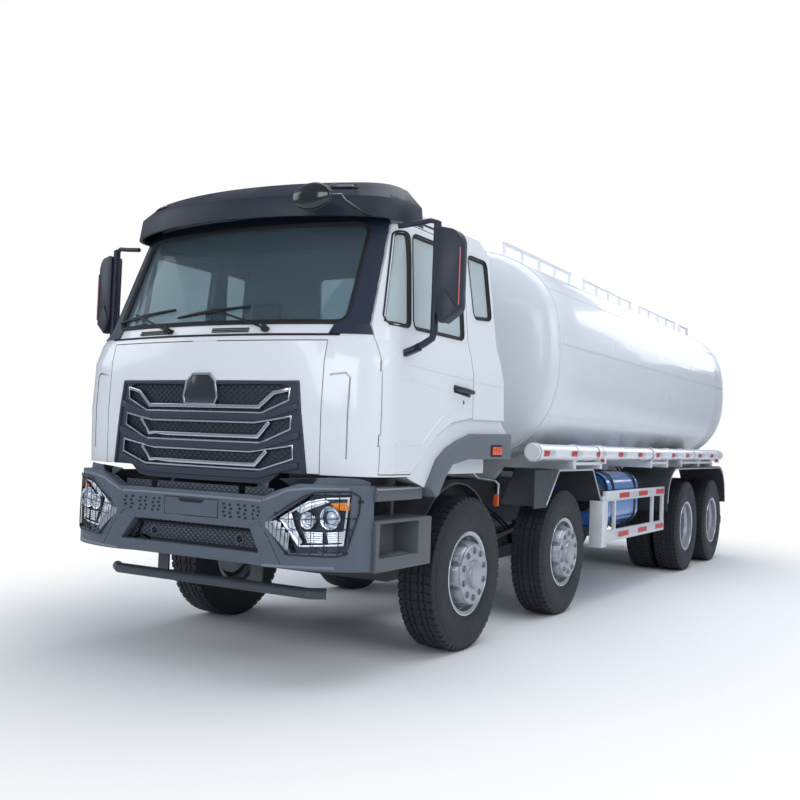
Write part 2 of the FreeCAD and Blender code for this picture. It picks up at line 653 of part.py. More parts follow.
def build_chassis():
    """Side rails, cross members, the tank's sub-frame and the cab's mountings."""
    y0 = AXLE_1 + RAIL_NOSE
    y1 = TAIL - 120
    inner = RAIL_HALF_OUT - RAIL_WEB
    parts = [channel(1, y0, y1), channel(-1, y0, y1)]
    for y in CROSS_MEMBERS:
        parts.append(box(-inner, inner, AXLE_1 + y - 40, AXLE_1 + y + 40, RAIL_LOW + 60, RAIL_TOP - 60))
    for side in (-1, 1):
        x_mid = side * (RAIL_HALF_OUT - SUBFRAME_W / 2)
        parts.append(box(x_mid - SUBFRAME_W / 2, x_mid + SUBFRAME_W / 2, AXLE_1 + 1150, TAIL - 150, RAIL_TOP,
                         RAIL_TOP + SUBFRAME_H))
        latch_y = AXLE_1 + CAB_LATCH_Y
        xb = side * (TILT_ARM_X + 45)
        bracket = box(xb - 15, xb + 15, AXLE_1 + TILT_Y - 42, y0 + 40, RAIL_LOW, TILT_Z + 42)
        parts.append(bracket)
        parts.append(rod(V(xb, AXLE_1 + TILT_Y, TILT_Z), V(side * (TILT_ARM_X - 25), AXLE_1 + TILT_Y, TILT_Z),
                         TILT_PIN_R))
        parts.append(box(side * 400 - 25, side * 400 + 25, latch_y - 25, latch_y + 25, RAIL_TOP,
                         CAB_FLOOR_LOW - 5))
    parts.append(box(-425, 425, latch_y - 25, latch_y + 25, 1180, 1235)
                 .cut(box(-330, 330, AXLE_1, AXLE_1 + 600, 1100, 1300)))
    return joined(parts)


def tank_wire(y, share):
    """The tank's rounded outline at one station, as a smooth closed curve."""
    points = []
    steps = 32
    for i in range(steps):
        angle = 2 * math.pi * i / steps
        c = math.cos(angle)
        s = math.sin(angle)
        power = 2.0 / TANK_SQUARENESS
        x = share * TANK_HALF * math.copysign(abs(c) ** power, c)
        z = TANK_MID_Z + share * TANK_HALF_H * math.copysign(abs(s) ** power, s)
        points.append(V(x, y, z))
    curve = Part.BSplineCurve()
    curve.interpolate(points, PeriodicFlag=True)
    return Part.Wire(curve.toShape())


def tank_body():
    """The closed tank with its dished heads."""
    y0 = AXLE_1 + TANK_FRONT
    y1 = AXLE_1 + TANK_REAR
    stations = [(y0 + HEAD_DEPTH - HEAD_DEPTH * h, share) for h, share in DISH]
    rear = [(y1 - HEAD_DEPTH + HEAD_DEPTH * h, share) for h, share in DISH]
    body = Part.Face(tank_wire(stations[0][0], 1.0)).extrude(V(0, rear[0][0] - stations[0][0], 0))
    heads = []
    for run in (stations, rear):
        heads.append(Part.makeLoft([tank_wire(y, share) for y, share in run], True, True))
    return joined([body] + heads)


def build_tank(body):
    """The tank and its two necks."""
    parts = [body]
    for station in MANHOLES:
        y = AXLE_1 + station
        y0 = y - HINGE_HALF
        y1 = y + HINGE_HALF
        parts.append(rod(V(0, y, TANK_MID_Z + TANK_HALF_H - 40), V(0, y, NECK_TOP), NECK_R))
        parts.append(box(HINGE_X - 20, HINGE_X + 45, y0, y1, NECK_TOP - 60, NECK_TOP - 10))
        for ear in (y0, y1 - EAR_T):
            parts.append(box(HINGE_X - 20, HINGE_X + 17, ear, ear + EAR_T, NECK_TOP - 60, HINGE_Z + 12))
        parts.append(rod(V(HINGE_X, y0, HINGE_Z), V(HINGE_X, y1, HINGE_Z), HINGE_PIN_R))
    return joined(parts)


def build_lid(y):
    """A manhole lid with the lug that turns on its hinge pin."""
    z = NECK_TOP + LID_GAP
    lid = rod(V(0, AXLE_1 + y, z), V(0, AXLE_1 + y, z + LID_T), NECK_R + 12)
    boss = rod(V(0, AXLE_1 + y, z + LID_T), V(0, AXLE_1 + y, z + LID_T + 8), 60)
    lug = box(HINGE_X - 10, HINGE_X + 60, AXLE_1 + y - 18, AXLE_1 + y + 18, z, z + LID_T)
    bore = rod(V(HINGE_X, AXLE_1 + y - 30, HINGE_Z), V(HINGE_X, AXLE_1 + y + 30, HINGE_Z),
               HINGE_PIN_R + RUNNING_FIT)
    return joined([lid, boss, lug]).cut(bore)


def build_outriggers(body):
    """Cross bearers that carry the tank, the side tubes and the fenders."""
    outline = [(-OUTRIGGER_OUT, DECK_LOW), (-520, DECK_LOW), (-430, RAIL_TOP + SUBFRAME_H)]
    outline += [(430, RAIL_TOP + SUBFRAME_H), (520, DECK_LOW), (OUTRIGGER_OUT, DECK_LOW)]
    outline += [(OUTRIGGER_OUT, 1360), (520, 1390), (-520, 1390), (-OUTRIGGER_OUT, 1360)]
    parts = []
    for y in OUTRIGGERS:
        parts.append(plate_y(outline, AXLE_1 + y - 32, AXLE_1 + y + 32))
    for y0, y1 in SHELVES:
        for side in (-1, 1):
            x0, x1 = sorted((side * 1130, side * OUTRIGGER_OUT))
            parts.append(box(x0, x1, AXLE_1 + y0, AXLE_1 + y1, 1300, 1328))
    bearers = group(parts).Solids
    frame = joined(bearers).cut(body)
    for tube in side_tube_blanks(TUBE_R + CLAMP_T):
        frame = frame.cut(tube)
    return frame


def side_tube_blanks(radius):
    tubes = []
    for side in (-1, 1):
        x = side * TUBE_X
        tubes.append(rod(V(x, AXLE_1 + TUBE_FRONT, TUBE_Z), V(x, AXLE_1 + TUBE_REAR, TUBE_Z), radius))
    return tubes


def build_side_tubes():
    """The hose tube along each side, with a clamp at each bearer."""
    tubes = []
    for side in (-1, 1):
        x = side * TUBE_X
        parts = [rod(V(x, AXLE_1 + TUBE_FRONT, TUBE_Z), V(x, AXLE_1 + TUBE_REAR, TUBE_Z), TUBE_R)]
        for y in OUTRIGGERS:
            parts.append(rod(V(x, AXLE_1 + y - 32, TUBE_Z), V(x, AXLE_1 + y + 32, TUBE_Z), TUBE_R + CLAMP_T))
        tubes.append(joined(parts))
    return group(tubes)


def tank_top_at(x):
    """Height of the tank's surface at a distance from its centre line."""
    share = (abs(x) / TANK_HALF) ** TANK_SQUARENESS
    return TANK_MID_Z + TANK_HALF_H * (1 - share) ** (1 / TANK_SQUARENESS)


def build_top_rails():
    """Hand rails along the top, three runs on each side."""
    rails = []
    foot = tank_top_at(TOP_RAIL_X) - 12
    for side in (-1, 1):
        x = side * TOP_RAIL_X
        for y0, y1 in TOP_RAIL_RUNS:
            parts = [rod(V(x, AXLE_1 + y0, TOP_RAIL_Z), V(x, AXLE_1 + y1, TOP_RAIL_Z), TOP_RAIL_R)]
            legs = 5
            for i in range(legs):
                y = AXLE_1 + y0 + TOP_RAIL_R + (y1 - y0 - 2 * TOP_RAIL_R) * i / (legs - 1)
                parts.append(rod(V(x, y, foot), V(x, y, TOP_RAIL_Z), TOP_RAIL_R - 3))
            rails.append(joined(parts))
    return rails


def build_ladder(body):
    """The climbing ladder behind the rear head, on stand-off feet."""
    y = TAIL - 30
    parts = []
    for x in (LADDER_X - LADDER_HALF, LADDER_X + LADDER_HALF):
        parts.append(rod(V(x, y, 700), V(x, y, 3262), 18))
        parts.append(rod(V(x, y, 3240), V(x, AXLE_1 + TANK_REAR - 190, 3240), 18))
        parts.append(rod(V(x, AXLE_1 + TANK_REAR - 190, 3240), V(x, AXLE_1 + TANK_REAR - 190, 3060), 18))
        parts.append(rod(V(x, y, 2150), V(x, AXLE_1 + TANK_REAR - 60, 2150), 14))
        parts.append(rod(V(x, y, 865), V(x, TAIL - 55 + SEAT_GAP, 865), 14))
    for i in range(9):
        z = 760 + 290 * i
        parts.append(rod(V(LADDER_X - LADDER_HALF, y, z), V(LADDER_X + LADDER_HALF, y, z), 13))
    return joined(parts).cut(body)


def build_rear_bumper():
    """The rear underrun beam and the lamp beam above it."""
    parts = [box(-1180, 1180, TAIL - 100, TAIL, 450, 560), box(-1180, 1180, TAIL - 75, TAIL - 55, 800, 930)]
    for x in (-RAIL_HALF_OUT + 40, RAIL_HALF_OUT - 40):
        parts.append(box(x - 30, x + 30, TAIL - 120, TAIL - 70, 470, 900))
    return joined(parts)


def build_rear_lamps():
    lamps = []
    for side in (-1, 1):
        x0, x1 = sorted((side * 700, side * 1150))
        lamps.append(box(x0, x1, TAIL - 55, TAIL - 15, 812, 918))
    return group(lamps)


def build_discharge():
    """The discharge pipe under the tank with its valve body and its flanged end."""
    z = 1150.0
    y_face = TAIL - 12
    pipe = rod(V(0, AXLE_4 + 300, z), V(0, y_face, z), PIPE_R + 8)
    riser = rod(V(0, AXLE_4 + 330, z), V(0, AXLE_4 + 330, 1330), PIPE_R + 20)
    valve = rod(V(0, AXLE_4 + 480, z - 105), V(0, AXLE_4 + 480, z + 105), 92)
    flange = rod(V(0, y_face - 18, z), V(0, y_face, z), HOSE_FLANGE_PCD / 2 + 22)
    body = joined([pipe, riser, valve, flange])
    body = body.cut(rod(V(0, AXLE_4 + 380, z), V(0, y_face + 10, z), PIPE_R))
    for i in range(8):
        angle = math.radians(22.5 + 45 * i)
        x = HOSE_FLANGE_PCD / 2 * math.cos(angle)
        dz = HOSE_FLANGE_PCD / 2 * math.sin(angle)
        body = body.cut(rod(V(x, y_face - 30, z + dz), V(x, y_face + 10, z + dz), 9))
    return body


def bent_guard(line, x0, x1, thickness):
    return plate_x(ribbon(line, thickness), x0, x1)


def build_fenders():
    """Arch liners and flaps: behind the first wheel, over the second, and over the bogie."""
    sheet = 12.0
    zc = TYRE_R
    inner = arc_line(AXLE_1, zc, 640, 150, 28, 10)
    inner[-1] = (AXLE_1 + 655, 800)
    liner = bent_guard(inner + [(AXLE_1 + 655, 470)], 640, 1060, -sheet)
    hangers = box(RAIL_HALF_OUT, 660, AXLE_1 + 300, AXLE_1 + 350, 985, 1015)
    hangers = hangers.fuse(box(640, 680, AXLE_1 + 300, AXLE_1 + 350, 985, 1120))
    front = joined([liner, hangers])
    y2 = AXLE_2
    arch = [(y2 - 542, 955), (y2 - 273, DECK_LOW - sheet), (y2 + 593, DECK_LOW - sheet), (y2 + 846, 945)]
    second = bent_guard(arch, 800, 1208, sheet)
    panel = plate_x([(AXLE_1 + 1070, DECK_LOW), (y2 - 273, DECK_LOW), (y2 - 542, 955), (AXLE_1 + 1070, 955)],
                    1190, 1208)
    brace = box(RAIL_HALF_OUT, 820, y2 + 150, y2 + 200, DECK_LOW - 46, DECK_LOW - sheet)
    brace = brace.fuse(box(RAIL_HALF_OUT, RAIL_HALF_OUT + 30, y2 + 150, y2 + 200, 960, DECK_LOW - 20))
    second = joined([second, panel, brace])
    y3 = AXLE_3
    y4 = AXLE_4
    front_bend = arc_line(y3 - 560, 850, DECK_LOW - sheet - 850, 180, 90, 8)
    rear_bend = arc_line(y4 + 300, 850, DECK_LOW - sheet - 850, 90, 0, 8)
    bogie = bent_guard([(y3 - 560 - (DECK_LOW - sheet - 850), 760)] + front_bend + rear_bend
                       + [(y4 + 300 + DECK_LOW - sheet - 850, 760)], 640, 1248, sheet)
    return group(pair(front) + pair(second) + pair(bogie))


def build_side_guards():
    """The side underrun frames with their front plates and hangers."""
    y0 = AXLE_1 + 2800
    y1 = AXLE_1 + 4845
    bars = [box(GUARD_X0, GUARD_X1, y0, y1, 951, 1046), box(GUARD_X0, GUARD_X1, y0, y1, 560, 668)]
    for y, w in ((2800, 60), (3080, 34), (4400, 34), (4795, 50)):
        bars.append(box(GUARD_X0, GUARD_X1 - 4, AXLE_1 + y, AXLE_1 + y + w, 600, 1000))
    plate = box(1115, 1240, AXLE_1 + 2676, AXLE_1 + 2682, 520, 960)
    rim = box(1226, 1240, AXLE_1 + 2676, y0 + 20, 520, 960)
    bars += [plate, rim]
    for y in (2745.0, 4290.0):
        bars.append(box(RAIL_HALF_OUT, GUARD_X0 + 6, AXLE_1 + y, AXLE_1 + y + 50, 950, 990))
    bars.append(box(GUARD_X0, GUARD_X0 + 20, AXLE_1 + 2745, y0 + 10, 951, 1000))
    return group(pair(joined(bars)))


def build_fuel_tank():
    """The wrapped fuel tank with its straps, and the small dark tank ahead of it."""
    y0 = AXLE_1 + 3210
    y1 = AXLE_1 + 4215
    tank = box(FUEL_X0, FUEL_X1, y0, y1, 655, 1215)
    along = [e for e in tank.Edges if abs(e.tangentAt(e.FirstParameter).y) > 0.99]
    tank = tank.makeFillet(170, along)
    small = rod(V(930, AXLE_1 + 2850, 1000), V(930, AXLE_1 + 3140, 1000), 170)
    carrier = box(RAIL_HALF_OUT, 820, AXLE_1 + 2960, AXLE_1 + 3030, 900, 960)
    shelves = [carrier, small]
    for y in (y0 + 200, y1 - 270):
        shelves.append(box(RAIL_HALF_OUT, FUEL_X0 + 10, y, y + 70, 760, 1000))
    return joined([tank] + shelves[2:]), joined(shelves[:2])


def build_right_boxes():
    """Battery box and two air reservoirs on the right side."""
    x0, x1 = -1090, -470
    battery = box(x0, x1, AXLE_1 + 2860, AXLE_1 + 3560, 660, 1120)
    battery = battery.makeFillet(25, battery.Edges)
    parts = [battery]
    for z in (760.0, 1050.0):
        parts.append(rod(V(-900, AXLE_1 + 3600, z), V(-900, AXLE_1 + 4270, z), 125))
    for y in (3720.0, 4130.0):
        parts.append(box(-950, -RAIL_HALF_OUT, AXLE_1 + y, AXLE_1 + y + 50, 870, 940))
    parts.append(box(-480, -RAIL_HALF_OUT, AXLE_1 + 3000, AXLE_1 + 3400, 800, 960))
    return joined(parts)


def axle_beam(y):
    """A dropped steering axle with a bored boss at each end."""
    z = TYRE_R
    half = [(520, z - 122), (700, z - 60), (KING_PIN_X, z - 50), (KING_PIN_X, z + 50), (690, z + 40),
            (530, z - 20)]
    outline = half + [(-x, h) for x, h in half[::-1]]
    parts = [plate_y(outline, y - 50, y + 50)]
    half_boss = KING_BOSS_H / 2
    for side in (-1, 1):
        pin_x = side * KING_PIN_X
        seat_x = side * FRONT_SPRING_X
        parts.append(rod(V(pin_x, y, z - half_boss), V(pin_x, y, z + half_boss), KING_BOSS_R))
        parts.append(box(seat_x - 50, seat_x + 50, y - 60, y + 60, z - 30, SPRING_SEAT))
    beam = joined(parts)
    for side in (-1, 1):
        pin_x = side * KING_PIN_X
        hole = rod(V(pin_x, y, z - KING_BOSS_H), V(pin_x, y, z + KING_BOSS_H), KING_PIN_R + RUNNING_FIT)
        relief = rod(V(pin_x, y, z + half_boss), V(pin_x, y, z + KING_BOSS_H), 90)
        lower = rod(V(pin_x, y, z - KING_BOSS_H), V(pin_x, y, z - half_boss), 90)
        beam = beam.cut(hole).cut(relief).cut(lower)
    return beam


def build_knuckle(side, y):
    """A steering knuckle: a fork round the boss, the king pin, and the wheel's spindle."""
    x = side * KING_PIN_X
    z = TYRE_R
    half = KING_BOSS_H / 2
    parts = [rod(V(x, y, z - half - 40), V(x, y, z + half + 40), KING_PIN_R)]
    for z0 in (z + half + KING_GAP, z - half - KING_GAP - 35):
        parts.append(rod(V(x, y, z0), V(x, y, z0 + 35), 55))
        x0, x1 = sorted((x, x + side * 92))
        parts.append(box(x0, x1, y - 45, y + 45, z0, z0 + 35))
    x0, x1 = sorted((x + side * (KING_BOSS_R + KING_GAP + 6), x + side * 92))
    parts.append(box(x0, x1, y - 60, y + 60, z - half - KING_GAP - 35, z + half + KING_GAP + 35))
    parts.append(rod(V(x + side * 60, y, z), V(side * SPINDLE_END, y, z), SPINDLE_R))
    return joined(parts)


def spring_pack(x, y, z, half_length, rise, thick, tip):
    """A leaf pack: deep at the middle, thin at the ends, bowed by rise."""
    steps = 12
    upper = []
    lower = []
    for i in range(steps + 1):
        s = -1 + 2 * i / steps
        mid = z + rise * s * s
        depth = thick + (tip - thick) * abs(s)
        upper.append((y + s * half_length, mid + thick))
        lower.append((y + s * half_length, mid + thick - depth))
    return plate_x(upper + lower[::-1], x - SPRING_W / 2, x + SPRING_W / 2)


def build_springs():
    """Leaf packs of the steered axles and of the bogie, with their hangers."""
    packs = []
    for y in (AXLE_1, AXLE_2):
        for side in (-1, 1):
            x = side * FRONT_SPRING_X
            parts = [spring_pack(x, y, SPRING_SEAT, 700, 70, 60, 16)]
            for eye in (y - 690, y + 690):
                parts.append(box(x - 45, x + 45, eye - 20, eye + 20, SPRING_SEAT + 90, RAIL_LOW))
            packs.append(joined(parts))
    for side in (-1, 1):
        x = side * REAR_SPRING_X
        half = BOGIE_SPREAD / 2
        parts = [spring_pack(x, BOGIE, 720, half + 60, -55, 90, 26)]
        parts.append(box(x - 60, x + 60, BOGIE - 110, BOGIE + 110, 560, 725))
        xa, xb = sorted((side * RAIL_HALF_OUT, x))
        parts.append(box(xa, xb, BOGIE - 90, BOGIE + 90, 600, 830))
        packs.append(joined(parts))
    return group(packs)


def build_rear_axles():
    """Two driven axle housings with their gear cases, and the propeller shafts."""
    z = TYRE_R
    parts = []
    for y in (AXLE_3, AXLE_4):
        parts.append(disc_x(-REAR_SPINDLE_END, REAR_SPINDLE_END, y, z, SPINDLE_R + 8))
        parts.append(box(-600, 600, y - 75, y + 75, z - 75, z + 75))
        parts.append(rod(V(0, y - 190, z), V(0, y + 170, z), 215))
        for side in (-1, 1):
            x = side * REAR_SPRING_X
            parts.append(box(x - 50, x + 50, y - 60, y + 60, z, BOGIE_SEAT))
    parts.append(rod(V(0, AXLE_3 + 150, z), V(0, AXLE_4 - 150, z), 55))
    parts.append(rod(V(0, AXLE_3 - 180, z + 20), V(0, AXLE_1 + 1503, 720), 55))
    return joined(parts)


def build_engine():
    """The engine as one block with its gearbox and mounting feet."""
    block = box(-300, 300, AXLE_1 - 1000, AXLE_1 + 560, 610, 1480)
    gearbox = box(-210, 210, AXLE_1 + 560, AXLE_1 + 1420, 640, 1060)
    parts = [block, gearbox, rod(V(0, AXLE_1 + 1410, 720), V(0, AXLE_1 + 1500, 720), 80)]
    for y in (-800, 350):
        for side in (-1, 1):
            x0, x1 = sorted((side * 295, side * (RAIL_HALF_OUT - RAIL_WEB)))
            parts.append(box(x0, x1, AXLE_1 + y - 60, AXLE_1 + y + 60, 860, 940))
    return joined(parts)


def tyre_ring(centre):
    """A tyre as a many-sided ring that lies flat on the road and seats on its rim."""
    seat_x = RIM_W / 2 - SEAT_GAP
    side = [(seat_x, RIM_R - BEAD_DEPTH + SEAT_GAP), (seat_x, RIM_R + 1), (TYRE_W / 2, TYRE_BULGE_R),
            (TREAD_W / 2, TYRE_R)]
    profile = [(centre + x, r) for x, r in side] + [(centre - x, r) for x, r in side[::-1]]
    half_turn = math.pi / TYRE_SIDES
    rings = []
    for i in range(TYRE_SIDES):
        angle = -math.pi / 2 + half_turn * (2 * i + 1)
        y = math.cos(angle) / math.cos(half_turn)
        z = math.sin(angle) / math.cos(half_turn)
        rings.append([V(x, r * y, r * z) for x, r in profile])
    faces = []
    for a, b in zip(rings, rings[1:] + rings[:1]):
        for j in range(len(profile)):
            k = (j + 1) % len(profile)
            faces.append(face_of([a[j], b[j], b[k], a[k]]))
    return Part.Solid(Part.Shell(faces))


def rim_barrel(centre):
    """One wheel barrel: two flanges and a dropped well."""
    h = RIM_W / 2
    t = RIM_WALL
    r = RIM_R
    seat = r - BEAD_DEPTH
    well = seat - RIM_WELL
    outside = [(-h - 12, r), (-h, r), (-h, seat), (-h + 40, seat - 2), (-h + 70, well), (h - 70, well),
               (h - 40, seat - 2), (h, seat), (h, r), (h + 12, r)]
    inside = [(h + 12, r - 6), (h + 6, seat - t), (h - 42, seat - 2 - t), (h - 72, well - t)]
    inside += [(-x, radius) for x, radius in inside[::-1]]
    return [(centre + x, y) for x, y in outside + inside]


def front_rim():
    """A steered wheel: barrel, cone with hand holes, nut disc, cap and brake drum."""
    c = FRONT_HALF_TRACK
    face = c + RIM_W / 2 + 60
    well = RIM_R - BEAD_DEPTH - RIM_WELL - RIM_WALL
    cone = [(c + 18, well + 3), (c + 60, well - 4), (face - 20, HUB_DISC_R + 6), (face, HUB_DISC_R - 8),
            (face, HUB_CAP_R), (face + 22, HUB_CAP_R - 6), (face + 28, HUB_CAP_R - 24), (face + 28, 0),
            (SPINDLE_END + 6, 0), (SPINDLE_END + 6, SPINDLE_R + RUNNING_FIT),
            (c - 45, SPINDLE_R + RUNNING_FIT), (c - 45, DRUM_R), (c + 60, DRUM_R - 5),
            (face - 26, HUB_DISC_R - 10), (c + 52, well - 18),
            (c + 12, well - 10)]
    wheel = turned(rim_barrel(c)).fuse(turned(cone))
    for i in range(HAND_HOLES):
        angle = 2 * math.pi * (i + 0.5) / HAND_HOLES
        r = (well + HUB_DISC_R) / 2 + 4
        y = r * math.cos(angle)
        z = r * math.sin(angle)
        wheel = wheel.cut(rod(V(c + 30, y, z), V(face, y, z), HAND_HOLE_R))
    return wheel.removeSplitter()


def rear_rim():
    """A twin wheel: two barrels, the disc between them, and the long driven hub."""
    c = REAR_HALF_TRACK
    well = RIM_R - BEAD_DEPTH - RIM_WELL - RIM_WALL
    spindle = SPINDLE_R + 8 + RUNNING_FIT
    disc = [(c + 128, well + 3), (c + 112, well + 3), (c + 14, 232), (c - 14, 232), (c - 112, well + 3),
            (c - 128, well + 3), (c - 128, well - 9), (c - 30, 214), (c - 30, DRUM_R), (c - 240, DRUM_R),
            (c - 240, spindle), (REAR_SPINDLE_END + 6, spindle), (REAR_SPINDLE_END + 6, 0), (c + 150, 0),
            (c + 150, 112), (c + 95, 128), (c + 14, 135), (c + 14, 208), (c + 30, 216), (c + 128, well - 9)]
    wheel = turned(disc)
    for side in (-1, 1):
        wheel = wheel.fuse(turned(rim_barrel(c + side * TWIN_SPREAD / 2)))
    for i in range(HAND_HOLES):
        angle = 2 * math.pi * (i + 0.5) / HAND_HOLES
        r = HUB_DISC_R + 8
        y = r * math.cos(angle)
        z = r * math.sin(angle)
        wheel = wheel.cut(rod(V(c - 26, y, z), V(c + 90, y, z), 9.0))
    return wheel.removeSplitter()


def build_wheels():
    """All eight wheels, each a rim with its tyre or pair of tyres."""
    steer_rim = front_rim()
    steer_tyre = tyre_ring(FRONT_HALF_TRACK)
    drive_rim = rear_rim()
    twins = [tyre_ring(REAR_HALF_TRACK + s * TWIN_SPREAD / 2) for s in (-1, 1)]
    drive_tyres = group(twins)
    for number, y in ((1, AXLE_1), (2, AXLE_2), (3, AXLE_3), (4, AXLE_4)):
        rim = steer_rim if number < 3 else drive_rim
        tyre = steer_tyre if number < 3 else drive_tyres
        for side, name in ((1, "left"), (-1, "right")):
            for kind, shape in (("rim", rim), ("tyre", tyre)):
                placed = moved(shape, y=y, z=TYRE_R)
                PIECES[f"{kind}_{number}_{name}"] = placed if side > 0 else mirrored(placed)


def build_dashboard():
    """Dashboard across the cab with the steering column and wheel on the right."""
    board = plate_x(at_axle_1([(-1350, 1700), (-960, 1700), (-850, 1960), (-860, 2060), (-930, 2110),
                               (-1350, 2100)]), -1030, 1030)
    board = board.common(skin_solid(CAB_LEVELS, CAB_WALL + DASHBOARD_INSET, CAB_FLOOR_TOP, 2200.0))
    hub = V(-520, AXLE_1 - 640, 2070)
    column = rod(V(-520, AXLE_1 - 900, 1900), hub, 28)
    axis = hub - V(-520, AXLE_1 - 900, 1900)
    ring = Part.makeTorus(215, 15, hub, axis)
    parts = [board, column, Part.makeCylinder(55, 40, hub, axis)]
    side = V(1, 0, 0)
    up = axis.cross(side)
    up.normalize()
    for direction in (side, side * -1, up * -1):
        parts.append(rod(hub, hub + direction * 212, 12))
    parts.append(ring)
    return joined(parts)


def build_seats():
    """Two high-backed seats on their pedestals."""
    seats = []
    for x in (-655, 655):
        cushion = box(x - 240, x + 240, AXLE_1 - 620, AXLE_1 - 130, 1600, 1740)
        cushion = cushion.makeFillet(40, cushion.Edges)
        back = box(x - 235, x + 235, AXLE_1 - 160, AXLE_1 - 20, 1700, 2360)
        back = back.makeFillet(45, back.Edges)
        head = box(x - 130, x + 130, AXLE_1 - 150, AXLE_1 - 50, 2340, 2520)
        head = head.makeFillet(35, head.Edges)
        base = box(x - 180, x + 180, AXLE_1 - 540, AXLE_1 - 180, CAB_FLOOR_TOP, 1610)
        seats.append(joined([cushion, back, head, base]))
    return group(seats)


def build_front_mirror():
    """The oval mirror ahead of the visor on its bent arm."""
    centre = V(770, AXLE_1 - 1520, 2925)
    head = Part.makeSphere(100, V(0, 0, 0))
    squash = FreeCAD.Matrix()
    squash.scale(1.42, 0.34, 0.82)
    head = head.transformGeometry(squash)
    head.translate(centre)
    elbow = V(965, AXLE_1 - 1450, 2885)
    foot = V(985, AXLE_1 - 1178, 2866)
    arm = [rod(centre + V(90, 20, 0), elbow, 9), Part.makeSphere(9, elbow), rod(elbow, foot, 9)]
    return joined([head] + arm)


def build_mirror():
    """The left door mirror: housing, upright bar and its two brackets."""
    y = AXLE_1 - 1010
    house = [(0, 2275), (40, 2175), (160, 2260), (160, 2700), (120, 2765), (0, 2790)]
    head = plate_y([(MIRROR_POST_X + x, z) for x, z in house], y - 70, y + 60)
    edges = [e for e in head.Edges if abs(e.tangentAt(e.FirstParameter).y) > 0.99]
    head = head.makeFillet(24, edges)
    post = box(MIRROR_POST_X - 34, MIRROR_POST_X + 6, y - 45, y + 5, 2110, 2840)
    post = post.makeFillet(12, [e for e in post.Edges if abs(e.tangentAt(e.FirstParameter).z) > 0.99])
    top = rod(V(MIRROR_POST_X - 16, y - 20, 2828), V(1124, y - 52, 2808), 17)
    low = rod(V(MIRROR_POST_X - 16, y - 20, 2125), V(1300, y - 110, 2030), 24)
    foot = rod(V(1300, y - 110, 2030), V(1222, y - 120, 2000), 30)
    knee = Part.makeSphere(24, V(1300, y - 110, 2030))
    return joined([head, post, top, low, knee, foot])


def main():
    shell, glass, panel, door, panes = build_cab()
    panel, grille, trim = build_grille(panel)
    skin = skin_solid(CAB_LEVELS, 0.0, CAB_FLOOR_LOW, CAB_TOP)
    mirror = build_mirror().cut(skin)
    body = tank_body()
    bumper, lamps = build_bumper()
    fuel, side_tank = build_fuel_tank()
    visor, visor_form = build_visor()
    PIECES["chassis_frame"] = build_chassis()
    PIECES["outriggers"] = build_outriggers(body)
    PIECES["front_axles"] = group([axle_beam(AXLE_1), axle_beam(AXLE_2)])
    PIECES["rear_axles"] = build_rear_axles()
    PIECES["leaf_springs"] = build_springs()
    PIECES["engine_block"] = build_engine()
    PIECES["bumper"] = bumper
    PIECES["headlamps"] = lamps
    PIECES["underrun_bar"] = build_underrun()
    PIECES["cab_steps"] = build_steps()
    PIECES["fuel_tank"] = fuel
    PIECES["battery_and_air_tanks"] = group([side_tank, build_right_boxes()])
    PIECES["side_guards"] = build_side_guards()
    PIECES["fenders"] = build_fenders()
    PIECES["tank_shell"] = build_tank(body)
    PIECES["side_tubes"] = build_side_tubes()
    PIECES["top_rails"] = group([r.cut(body) for r in build_top_rails()])
    PIECES["rear_ladder"] = build_ladder(body)
    PIECES["rear_bumper"] = build_rear_bumper()
    PIECES["rear_lamps"] = build_rear_lamps()
    PIECES["discharge_pipe"] = build_discharge().cut(body)
    PIECES["cab_shell"] = shell
    PIECES["cab_glass"] = group(glass)
    PIECES["sun_visor"] = visor
    PIECES["wheel_arch_flares"] = build_flares()
    PIECES["dashboard"] = build_dashboard()
    PIECES["seats"] = build_seats()
    PIECES["front_mirror"] = largest(build_front_mirror().cut(visor_form))
    PIECES["front_panel"] = panel
    PIECES["grille"] = grille
    PIECES["grille_trim"] = trim
    for name, place in (("left", lambda s: s), ("right", mirrored)):
        PIECES[f"door_{name}"] = place(door)
        PIECES[f"door_glass_{name}"] = place(group(panes))
        PIECES[f"mirror_{name}"] = place(mirror)
    for number, y in enumerate(MANHOLES, 1):
        PIECES[f"manhole_lid_{number}"] = build_lid(y)
    for number, y in ((1, AXLE_1), (2, AXLE_2)):
        PIECES[f"knuckle_{number}_left"] = build_knuckle(1, y)
        PIECES[f"knuckle_{number}_right"] = build_knuckle(-1, y)
    build_wheels()
    os.makedirs("parts", exist_ok=True)
    for name, shape in PIECES.items():
        shape.exportStep(f"parts/{name}.step")
        print(name, len(shape.Solids), shape.isValid(), round(shape.Volume / 1e9, 5))


main()
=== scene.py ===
import json
import math

import bpy
from mathutils import Matrix, Vector
from mathutils.bvhtree import BVHTree

